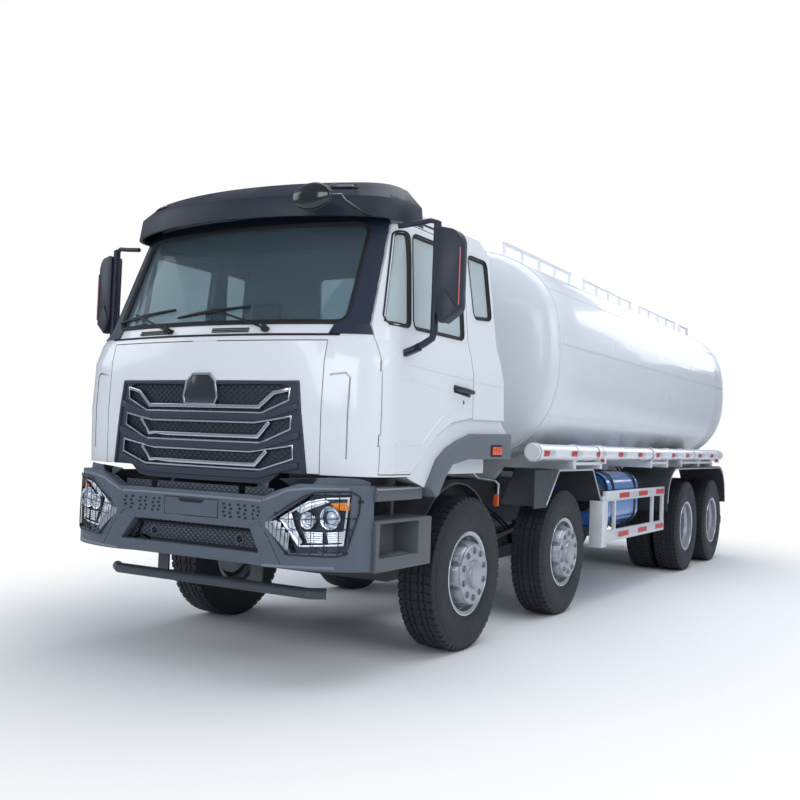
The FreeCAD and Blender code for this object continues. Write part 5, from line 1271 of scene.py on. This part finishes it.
front_edge = rim_edge(1.158)
rear_edge = rim_edge(1.225)
bright = finish("rim_bright", srgb(214, 217, 221), 0.22, metal=0.85, drift=0.05, scale=24)
kinds = {True: ((hub_silver, "wheel_paint", silver), (hub_dark, "trim_black", dark_gap),
                (hub_nuts, "wheel_paint", nut_steel), (front_edge, "wheel_paint", bright)),
         False: ((rear_nuts, "wheel_paint", nut_steel), (rear_ring, "wheel_paint", silver),
                 (rear_edge, "wheel_paint", bright))}
for number in (1, 2, 3, 4):
    for side_name in ("left", "right"):
        low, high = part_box(f"rim_{number}_{side_name}")
        move = (0, (low.y + high.y) / 2, (low.z + high.z) / 2)
        for piece, slot, material in kinds[number < 3]:
            name = f"{piece.name}_{number}_{side_name}"
            one = copy_of(piece, name, move, flip=side_name == "right")
            placed(one, f"wheel_{number}_{side_name}", material)
for piece in [row[0] for kind in kinds.values() for row in kind]:
    bpy.data.objects.remove(piece)

# Tank: one rolled shell of white-painted steel with dished ends, welded seams along and round it, a
# welded lip where each end is set in, and two manhole necks. The skin is made as rings along its length.
tank_y0, tank_y1 = A1 + 1.290, A1 + 7.800
half_wide, half_high, middle_z = 1.25, 0.95, 2.24
roundness, dish_deep = 2.6, 0.15
dish = ((0.0, 1.0), (0.3, 0.985), (0.55, 0.94), (0.8, 0.80), (0.93, 0.55), (0.985, 0.25), (0.998, 0.10),
        (1.0, 0.0005))


def tank_section(y, share=1.0, count=128, grow=0.0):
    """One ring of the tank's rounded section, as points."""
    points = []
    for k in range(count):
        a = 2 * math.pi * k / count
        c, t = math.cos(a), math.sin(a)
        points.append(((half_wide + grow) * share * math.copysign(abs(c) ** (2 / roundness), c), y,
                       middle_z + (half_high + grow) * share * math.copysign(abs(t) ** (2 / roundness), t)))
    return points


rings = [(tank_y0 + dish_deep * (1 - at), share) for at, share in dish[::-1]]
rings += [(tank_y0 + dish_deep + (tank_y1 - tank_y0 - 2 * dish_deep) * k / 12, 1.0) for k in range(1, 12)]
rings += [(tank_y1 - dish_deep * (1 - at), share) for at, share in dish]
skin = draw_line("tank_skin", tank_section(0) + tank_section(0)[:1])
bpy.ops.mesh.remove_doubles(threshold=0.0001)
for _ in rings[1:]:
    extruded()
object_mode()
order = len(skin.data.vertices) // len(rings)
for i, (y, share) in enumerate(rings):
    for k, point in enumerate(tank_section(y, share)):
        skin.data.vertices[i * order + k].co = point
edit_mode()
select_all()
bpy.ops.mesh.remove_doubles(threshold=0.0015)
ended()
fittings = []
for y in (tank_y0 + dish_deep, tank_y1 - dish_deep):
    fittings.append(tube("head_weld", tank_section(y, count=96, grow=0.001), 0.0075, closed=True))
for y in (2.93, 4.42, 5.91):
    fittings.append(tube("seam", tank_section(A1 + y, count=96, grow=-0.0015), 0.003, closed=True))
for side in (-1, 1):
    for z in (2.81, 1.72):
        x = side * half_wide * (1 - abs((z - middle_z) / half_high) ** roundness) ** (1 / roundness)
        fittings.append(tube("long_seam", [(x, tank_y0 + dish_deep, z), (x, tank_y1 - dish_deep, z)], 0.0035))
for y in (2.49, 6.65):
    neck = spun("neck", [(0.262, A1 + y, 3.170), (0.262, A1 + y, 3.228), (0.240, A1 + y, 3.234),
                         (0.0002, A1 + y, 3.234)], steps=56, axis=(0, 0, 1), centre=(0, A1 + y, 0))
    collar = spun("collar", [(0.266, A1 + y, 3.196), (0.276, A1 + y, 3.190), (0.276, A1 + y, 3.178),
                             (0.262, A1 + y, 3.172)], steps=56, axis=(0, 0, 1), centre=(0, A1 + y, 0))
    fittings += [neck, collar]
    for ear in (-0.088, 0.088):
        fittings.append(plate("ear", rounded([(-0.302, A1 + y + ear, 3.180), (-0.248, A1 + y + ear, 3.180),
                                              (-0.262, A1 + y + ear, 3.262), (-0.302, A1 + y + ear, 3.262)],
                                             0.008, 3), (0, 0.010 if ear < 0 else -0.010, 0), 0.001))
    fittings.append(tube("hinge_pin", [(-0.285, A1 + y - 0.094, 3.25), (-0.285, A1 + y + 0.094, 3.25)],
                         0.008))
tank_white = finish("tank_paint", srgb(226, 230, 234), 0.26, drift=0.012, scale=0.7, grain=0.10,
                    grain_scale=1.6, coat=0.35, film=0.2)
shell = joined("tank_paint_shell", [skin] + fittings)
placed(shell, "chassis", tank_white)
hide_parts("tank_shell")

# Side tubes and tapes: the hose tubes along both sides have flat caps, clamp bands and red and
# silver tape; the side guard carries the same tape. The tapes are reflective film on the metal.
tape_red = finish("tape_red", srgb(196, 24, 34), 0.35, drift=0.15, scale=60, grain=0.2, grain_scale=900)
tape_silver = finish("tape_silver", srgb(206, 209, 214), 0.3, metal=0.3, drift=0.08, scale=60, grain=0.2,
                     grain_scale=900)
tube_x, tube_z = 1.180, 1.410
tube_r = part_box("side_tubes")[1].x - tube_x


def rectangle(low, high):
    """The corners of a flat rectangle square to an axis, from its two opposite corners."""
    (x0, y0, z0), (x1, y1, z1) = low, high
    if z0 == z1:
        return [low, (x1, y0, z0), high, (x0, y1, z0)]
    return [low, (x1, y1, z0), high, (x0, y0, z1)]


def tube_patch(y, length):
    """A piece of tape wrapped on the outer side of the side tube."""
    angles = [math.radians(-24 + 6 * k) for k in range(7)]
    r = tube_r + 0.0008
    patch = draw_line("patch", [(tube_x + r * math.cos(a), y, tube_z + r * math.sin(a)) for a in angles])
    extruded((0, length, 0))
    ended()
    return patch


reds, silvers, bands = [], [], []
for k in range(10):
    y = A1 + 1.135 + 0.655 * k
    reds.append(tube_patch(y, 0.125))
    silvers.append(tube_patch(y + 0.125, 0.125))
guard_x = 1.2366
for k in range(5):
    y0 = A1 + 3.20 + k * 0.325
    for z0, z1 in ((0.972, 1.024), (0.588, 0.640)):
        patch = plate("patch", rectangle((guard_x, y0, z0), (guard_x, y0 + 0.325, z1)), (0.001, 0, 0))
        (silvers if k % 2 else reds).append(patch)
for y in (1.105, 2.55, 4.35, 6.20, 7.62):
    bands.append(spun("clamp", [(tube_x, A1 + y - 0.022, tube_z + tube_r + 0.0005),
                                (tube_x, A1 + y - 0.020, tube_z + tube_r + 0.0035),
                                (tube_x, A1 + y + 0.020, tube_z + tube_r + 0.0035),
                                (tube_x, A1 + y + 0.022, tube_z + tube_r + 0.0005)], steps=40, axis=(0, 1, 0),
                      centre=(tube_x, 0, tube_z)))
cap = spun("cap", [(tube_x, A1 + 1.069, tube_z + 0.0002), (tube_x, A1 + 1.066, tube_z + 0.066),
                   (tube_x, A1 + 1.074, tube_z + 0.072)], steps=40, axis=(0, 1, 0),
           centre=(tube_x, 0, tube_z))
bands.append(cap)
for y in (2.675, 7.50):
    lamp_plate = rectangle((1.196, A1 + y, 1.312), (1.262, A1 + y, 1.372))
    bands.append(plate("lamp_plate", lamp_plate, (0, 0.012, 0), 0.002))
for names, parts, slot, material in (("tape_red", reds, "red_lens", tape_red),
                                     ("tape_silver", silvers, "white_paint", tape_silver),
                                     ("tube_bands", bands, "white_paint", white_paint)):
    piece = joined(names + "_left", parts)
    both(piece, "chassis", material)
lens = [spun("side_lens", [(1.232, A1 + y - 0.002, 1.360), (1.232, A1 + y - 0.012, 1.358),
                           (1.232, A1 + y - 0.018, 1.3422)],
             steps=24, axis=(0, 1, 0), centre=(1.232, 0, 1.342)) for y in (2.675, 7.50)]
both(joined("side_lens_left", lens), "chassis",
     finish("side_lens_red", srgb(188, 32, 52), 0.18, drift=0.12, scale=50, coat=0.6))

# Arches, fenders and steps: grey flares with an orange side lamp, black flaps and folded fenders with
# bright edge strips, and chequered treads on the entry steps.
flare_grey = finish("flare_grey", srgb(104, 110, 120), 0.5, drift=0.09, scale=7, grain=0.22, grain_scale=560,
                    film=0.12)
dressed("wheel_arch_flares", flare_grey, angle=32, bevel=0.012)
fender_black = finish("fender_sheet", srgb(40, 45, 53), 0.42, drift=0.14, scale=10, grain=0.1,
                      grain_scale=260, film=0.35)
dressed("fenders", fender_black, angle=30)
lip_line = [(1.208, A1 + 1.335, 0.972), (1.208, A1 + 1.606, 1.256), (1.208, A1 + 2.472, 1.256),
            (1.208, A1 + 2.722, 0.958)]
strip = rectangle((1.196, A1 + 1.62, 1.2575), (1.214, A1 + 2.46, 1.2575))
turns, bend_r = [math.pi / 2 * k / 8 for k in range(9)], 0.391
rear_line = [(1.246, A1 + 5.35 + bend_r * (1 - math.cos(a)) - bend_r, 0.85 + bend_r * math.sin(a))
             for a in turns]
rear_line += [(1.246, A1 + 7.56 + bend_r * math.sin(a), 0.85 + bend_r * math.cos(a)) for a in turns]
edges = [tube("lip", lip_line, 0.0075), plate("strip", strip, (0, 0, 0.010), 0.002),
         tube("lip", rear_line, 0.006)]
both(joined("fender_lips_left", edges), "chassis",
     finish("edge_strip", srgb(188, 192, 198), 0.35, metal=0.5, drift=0.1, scale=20))
lamp_base = plate("lamp_base", rounded(rectangle((1.2595, A1 + 0.105, 1.372), (1.2595, A1 + 0.300, 1.458)),
                                       0.012, 3), (0.004, 0, 0), 0.0012)
both(lamp_base, "cab", rubber_black)
lamp_base.name = "flare_lamp_base_left"
glow = []
for k in range(3):
    y0, y1 = A1 + 0.122 + 0.055 * k, A1 + 0.172 + 0.055 * k
    pane = rounded(rectangle((1.2635, y0, 1.386), (1.2635, y1, 1.445)), 0.006, 2)
    glow.append(plate("lens", pane, (0.008, 0, 0), 0.0025))
orange = finish("side_amber", srgb(226, 92, 48), 0.22, drift=0.14, scale=70, coat=0.5)
both(joined("flare_lamp_left", glow), "cab", orange)
liner_lens = rounded(rectangle((1.055, A1 + 0.640, 0.985), (1.095, A1 + 0.640, 1.075)), 0.010, 3)
liner_lamp = plate("liner_lamp_left", liner_lens, (0, -0.022, 0), 0.004)
both(liner_lamp, "chassis", orange)
bend = [(1.075, 0.655, 1.06), (1.075, 0.668, 1.15), (1.02, 0.72, 1.175), (0.86, 0.74, 1.185),
        (0.80, 0.70, 1.26)]
bracket = tube("lamp_bracket_left", [(x, A1 + y, z) for x, y, z in bend], 0.009)
both(bracket, "chassis",
     finish("bracket_zinc", srgb(176, 180, 184), 0.4, metal=0.7, drift=0.2, scale=30))
tread_bars = []
for z, y0, y1, x0, x1 in ((0.761, -1.290, -0.860, 1.040, 1.205), (1.1725, -1.325, -0.810, 0.990, 1.200)):
    for k in range(int((y1 - y0) / 0.046)):
        for row in range(3):
            x = x0 + 0.012 + row * (x1 - x0 - 0.03) / 3
            y = A1 + y0 + 0.046 * k + (0.023 if row % 2 else 0)
            tread_bars.append(plate("bar", [(x, y, z), (x + 0.040, y + 0.016, z), (x + 0.044, y + 0.008, z),
                                            (x + 0.004, y - 0.008, z)], (0, 0, 0.004)))
step_edges = [plate("edge", rectangle((1.196, A1 - 1.338, 1.166), (1.2115, A1 - 0.798, 1.166)), (0, 0, 0.012),
                    0.003)]
dressed("cab_steps", finish("step_grey", srgb(88, 92, 98), 0.5, drift=0.12, scale=9, grain=0.2,
                            grain_scale=420, film=0.3), angle=30, bevel=0.006)
tread_alloy = finish("tread_alloy", srgb(168, 172, 178), 0.36, metal=0.75, drift=0.16, scale=26, grain=0.15,
                     grain_scale=300, film=0.3)
both(joined("step_treads_left", tread_bars + step_edges), "chassis", tread_alloy)

# Tail: each rear lamp has a black moulded bezel with clear, amber and red plastic segments cut by fine
# flutes, and is screwed to its bracket.
tail_parts = {"bezels": [], "amber": [], "clear": [], "red": []}
for start, end, kind in ((0.712, 0.800, "clear"), (0.806, 0.900, "amber"), (0.906, 1.138, "red")):
    count = round((end - start) / 0.012)
    for k in range(count):
        x = start + (end - start) * k / count
        tail_parts[kind].append(plate("flute", [(x, A1 + 8.044, 0.826), (x, A1 + 8.044, 0.904),
                                                (x + 0.0105, A1 + 8.044, 0.904),
                                                (x + 0.0105, A1 + 8.044, 0.826)], (0, 0.006, 0), 0.002, 1))
tail_parts["bezels"].append(band("bezel", rectangle((0.706, A1 + 8.046, 0.819), (1.144, A1 + 8.046, 0.911)),
                                 0.011, 0.007, (0, 1, 0), closed=True, round_edge=0.003, sink=0.003))
for kind, slot, material in (("bezels", "trim_black", rubber_black), ("amber", "lamp_glass", amber),
                             ("clear", "lamp_glass", finish("clear_lens", srgb(206, 210, 214), 0.2,
                                                            drift=0.08, scale=60, coat=0.5)),
                             ("red", "red_lens", finish("tail_red", srgb(186, 20, 20), 0.2, drift=0.12,
                                                        scale=60, coat=0.5))):
    piece = joined("tail_lamp_" + kind + "_left", tail_parts[kind])
    both(piece, "chassis", material)

# Fuel tank, guards and lines: a blue-filmed tank under two black straps, white guard frames, brake
# chambers on the axles, air hoses, and a radiator and liners behind the bumper.
film_blue = finish("fuel_film", srgb(52, 118, 196), 0.2, drift=0.22, scale=7, grain=0.25, grain_scale=26,
                   coat=0.8)
dressed("fuel_tank", film_blue, angle=35)
tank_outline = rounded(rectangle((0.466, 0, 0.651), (1.119, 0, 1.219)), 0.172, 8)
straps = []
for y in (3.345, 4.080):
    strap = draw_line("strap", [(x, A1 + y, z) for x, _, z in tank_outline + tank_outline[:1]])
    extruded((0, 0.050, 0))
    select_all()
    bpy.ops.mesh.remove_doubles(threshold=0.0001)
    outwards()
    modified(strap, "SOLIDIFY", thickness=0.004, offset=-1)
    smoothed(35)
    straps.append(strap)
for y in (3.205, 4.219):
    seam_line = rounded(rectangle((0.486, A1 + y, 0.671), (1.099, A1 + y, 1.199)), 0.155, 8)
    straps.append(tube("end_seam", seam_line, 0.007, closed=True))
neck = spun("filler", [(0.80, A1 + 3.62, 1.208), (0.80 + 0.048, A1 + 3.62, 1.208),
                       (0.80 + 0.048, A1 + 3.62, 1.236), (0.80 + 0.040, A1 + 3.62, 1.242),
                       (0.8002, A1 + 3.62, 1.242)], steps=32, axis=(0, 0, 1), centre=(0.80, A1 + 3.62, 0))
straps.append(neck)
placed(joined("fuel_straps", straps), "chassis", rubber_black)
guard_white = finish("guard_white", srgb(226, 228, 231), 0.3, drift=0.03, scale=6, grain=0.05, coat=0.3,
                     film=0.35)
dressed("side_guards", guard_white, angle=30, bevel=0.003)
hose_black = finish("hose_black", srgb(24, 26, 30), 0.5, drift=0.2, scale=30, grain=0.1)
hoses = []
for a, b, low in (((0.50, 3.69, 1.23), (0.95, 4.05, 1.10), 1.24),
                  ((0.50, 5.03, 1.26), (0.62, 5.35, 1.01), 1.24),
                  ((0.36, 1.30, 1.10), (0.60, 1.86, 0.72), 0.92),
                  ((0.36, 5.50, 1.02), (0.56, 5.80, 0.70), 0.86),
                  ((0.36, 6.90, 1.02), (0.56, 7.15, 0.70), 0.86),
                  ((0.36, -0.50, 0.95), (0.60, -0.10, 0.70), 0.80)):
    start, end = Vector((a[0], A1 + a[1], a[2])), Vector((b[0], A1 + b[1], b[2]))
    middle = start.lerp(end, 0.5)
    middle.z = low
    for shift in (0.0, 0.035):
        move = Vector((shift, shift * 0.5, 0))
        hoses.append(tube("hose", [start + move, start.lerp(middle, 0.5) + move + Vector((0, 0, 0.02)),
                                   middle + move, middle.lerp(end, 0.5) + move + Vector((0, 0, 0.01)),
                                   end + move], 0.010, smooth=True, steps=2))
chambers, chamber_z = [], 0.712
chamber_line = ((0, 0.150), (0.062, 0.152), (0.078, 0.185), (0.086, 0.215), (0.086, 0.228), (0.076, 0.250),
                (0.076, 0.330), (0.060, 0.345), (0.0002, 0.350))
for y in (5.91, 7.26):
    for x in (-0.47, 0.47):
        chambers.append(spun("chamber", [(x + r, A1 + y + at, chamber_z) for r, at in chamber_line], steps=28,
                             axis=(0, 1, 0), centre=(x, 0, chamber_z)))
placed(joined("air_lines", hoses), "chassis", hose_black)
placed(joined("brake_chambers", chambers), "chassis", fender_black)
core = []
for k in range(40):
    fin = rectangle((-0.300, A1 - 1.440, 0.72 + 0.0115 * k), (0.300, A1 - 1.440, 0.7255 + 0.0115 * k))
    core.append(plate("fin", fin, (0, 0.020, 0)))
core.append(plate("tank", rectangle((-0.324, A1 - 1.425, 0.70), (0.324, A1 - 1.425, 1.215)), (0, 0.040, 0),
                  0.006))
for side in (-1, 1):
    core.append(plate("liner", rectangle((side * 0.405, A1 - 1.335, 0.74), (side * 1.120, A1 - 1.335, 1.196)),
                      (0, 0.008, 0), 0.002))
placed(joined("radiator_and_liners", core), "chassis", hose_black)
dressed("underrun_bar", finish("bar_paint", srgb(58, 66, 76), 0.36, drift=0.1, scale=12, grain=0.1,
                               grain_scale=240, film=0.2), angle=40)

# Cab inside: grey trim on the shell's and doors' inner faces, a moulded dashboard, and two padded seats
# in woven cloth. The cushions are crowned closed forms from subdivided blocks with sewn channels.
lining = finish("cab_lining", srgb(128, 136, 142), 0.8, drift=0.1, scale=10, grain=0.3, grain_scale=420)
inside = Vector((0, A1 - 0.55, 2.15))
for name in ("cab_shell_form", "door_left_form", "door_right_form"):
    obj = bpy.data.objects[name]
    obj.data.materials.append(lining)
    for face in obj.data.polygons:
        to_face = face.center - inside
        if face.normal.dot(to_face) < -0.02 and abs(to_face.x) < 1.215 and -0.97 < to_face.y < 1.01 and \
                -0.92 < to_face.z < 0.88:
            face.material_index = 1
cloth = finish("seat_cloth", srgb(66, 70, 78), 0.88, drift=0.18, scale=38, grain=0.6, grain_scale=900)
dash_grey = finish("dash_grey", srgb(44, 47, 52), 0.6, drift=0.08, scale=14, grain=0.3, grain_scale=600)
dressed("dashboard", dash_grey, angle=35, bevel=0.004)


def cushion(name, low, high, channels, axis):
    """A crowned pad: a block cut fine, pulled in at its sides, swollen, with sewn channels across."""
    low, high = Vector(low), Vector(high)
    deselect()
    bpy.ops.mesh.primitive_cube_add(size=1, location=(low + high) / 2)
    obj = bpy.context.object
    obj.name = name
    obj.scale = high - low
    bpy.ops.object.transform_apply(location=True, rotation=False, scale=True)
    edit_mode()
    select_all()
    bpy.ops.mesh.bevel(offset=0.25 * min(high - low), segments=3, affect="EDGES")
    bpy.ops.mesh.subdivide(number_cuts=7)
    object_mode()
    middle, size = (low + high) / 2, (high - low) / 2
    for v in obj.data.vertices:
        u = Vector(((v.co[i] - middle[i]) / size[i] for i in range(3)))
        crown = [max(0.0, 1 - u[i] * u[i]) for i in range(3)]
        for i in range(3):
            others = [crown[k] for k in range(3) if k != i]
            v.co[i] = middle[i] + size[i] * u[i] * (0.955 + 0.045 * others[0] * others[1])
        place = u[axis]
        for k in range(1, channels):
            gap = abs(place - (-1 + 2 * k / channels))
            if gap < 0.09:
                pull = 0.010 * (1 - gap / 0.09) ** 2
                v.co -= (v.co - middle).normalized() * pull
    modified(obj, "SUBSURF", levels=1)
    smoothed(60)
    return obj


pads = []
for x in (-0.655, 0.655):
    pads.append(cushion("pad", (x - 0.238, A1 - 0.617, 1.602), (x + 0.238, A1 - 0.135, 1.738), 4, 0))
    pads.append(cushion("pad", (x - 0.232, A1 - 0.158, 1.702), (x + 0.232, A1 - 0.022, 2.357), 5, 2))
    pads.append(cushion("pad", (x - 0.128, A1 - 0.148, 2.345), (x + 0.128, A1 - 0.052, 2.517), 1, 0))
seat = placed(joined("seat_pads", pads), "cab", cloth)
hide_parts("seats")
bases = []
for x in (-0.655, 0.655):
    for k in range(5):
        z = 1.302 + 0.06 * k
        w = 0.178 - 0.012 * (k % 2)
        bases.append(plate("fold", rounded(rectangle((x - w, A1 - 0.36 - w, z), (x + w, A1 - 0.36 + w, z)),
                                           0.03, 3), (0, 0, 0.060), 0.008))
    for side in (-1, 1):
        bases.append(tube("post", [(x + side * 0.06, A1 - 0.10, 2.33), (x + side * 0.06, A1 - 0.10, 2.37)],
                          0.007))
placed(joined("seat_bases", bases), "cab", rubber_black)
binnacle = [plate("hood", rounded([(-0.72, A1 - 0.90, 2.07), (-0.32, A1 - 0.90, 2.07),
                                   (-0.34, A1 - 0.90, 2.150), (-0.70, A1 - 0.90, 2.150)], 0.03, 3),
                  (0, -0.20, 0), 0.012)]
placed(joined("instrument_hood", binnacle), "cab", dash_grey)

# Chassis, axles and glass: painted frame, springs and rear bumper, cast axles and engine, black tanks,
# a steel discharge pipe, and panes of tinted glass bonded in. They keep their CAD forms, smoothed.
rest_colours = {
    "chassis_paint": finish("chassis_black", srgb(38, 40, 44), 0.5, drift=0.2, scale=12, grain=0.15,
                            film=0.3),
    "engine_metal": finish("engine_grey", srgb(90, 92, 96), 0.5, metal=0.4, drift=0.2, scale=15, film=0.2),
    "trim_black": finish("trim_black", srgb(24, 26, 29), 0.45, drift=0.1, scale=12, grain=0.1),
    "steel": finish("bare_steel", srgb(120, 122, 126), 0.45, metal=0.7, drift=0.15, scale=20, film=0.2),
    "red_lens": finish("red_lens", srgb(170, 18, 14), 0.15, drift=0.1, scale=30, coat=0.4),
    "white_paint": white_paint,
}


def glazing(name, clear, pale, deep):
    """Window glass: how much light it lets through, and two tints that drift into each other."""
    glass = bpy.data.materials.new(name)
    glass.use_nodes = True
    pane = glass.node_tree.nodes["Principled BSDF"]
    pane.inputs["Transmission Weight"].default_value = clear
    pane.inputs["IOR"].default_value = 1.12
    link = glass.node_tree.links.new
    haze = node(glass.node_tree, "TexNoise", Scale=3.0)
    rough = node(glass.node_tree, "MapRange", To_Max=0.03)
    link(haze.outputs["Fac"], rough.inputs["Value"])
    link(rough.outputs["Result"], pane.inputs["Roughness"])
    tint = node(glass.node_tree, "MixRGB", Color1=(*pale, 1), Color2=(*deep, 1))
    link(haze.outputs["Fac"], tint.inputs["Fac"])
    link(tint.outputs["Color"], pane.inputs["Base Color"])
    return glass


side_glass = glazing("side_glass", 0.5, (0.80, 0.88, 0.88), (0.70, 0.80, 0.82))
rest_colours["window_glass"] = side_glass
dressed("cab_glass", glazing("windscreen_glass", 0.94, (0.60, 0.74, 0.82), (0.48, 0.62, 0.70)))
cab_panes = bpy.data.objects["cab_glass_form"]
cab_panes.data.materials.append(side_glass)
for face in cab_panes.data.polygons:
    if face.center.y > A1 - 0.80:
        face.material_index = 1
for part in frame["record"]["subparts"]:
    if not frame["nodes"][part["node"]].hide_render:
        dressed(part["node"], rest_colours[part["material_slot"]])
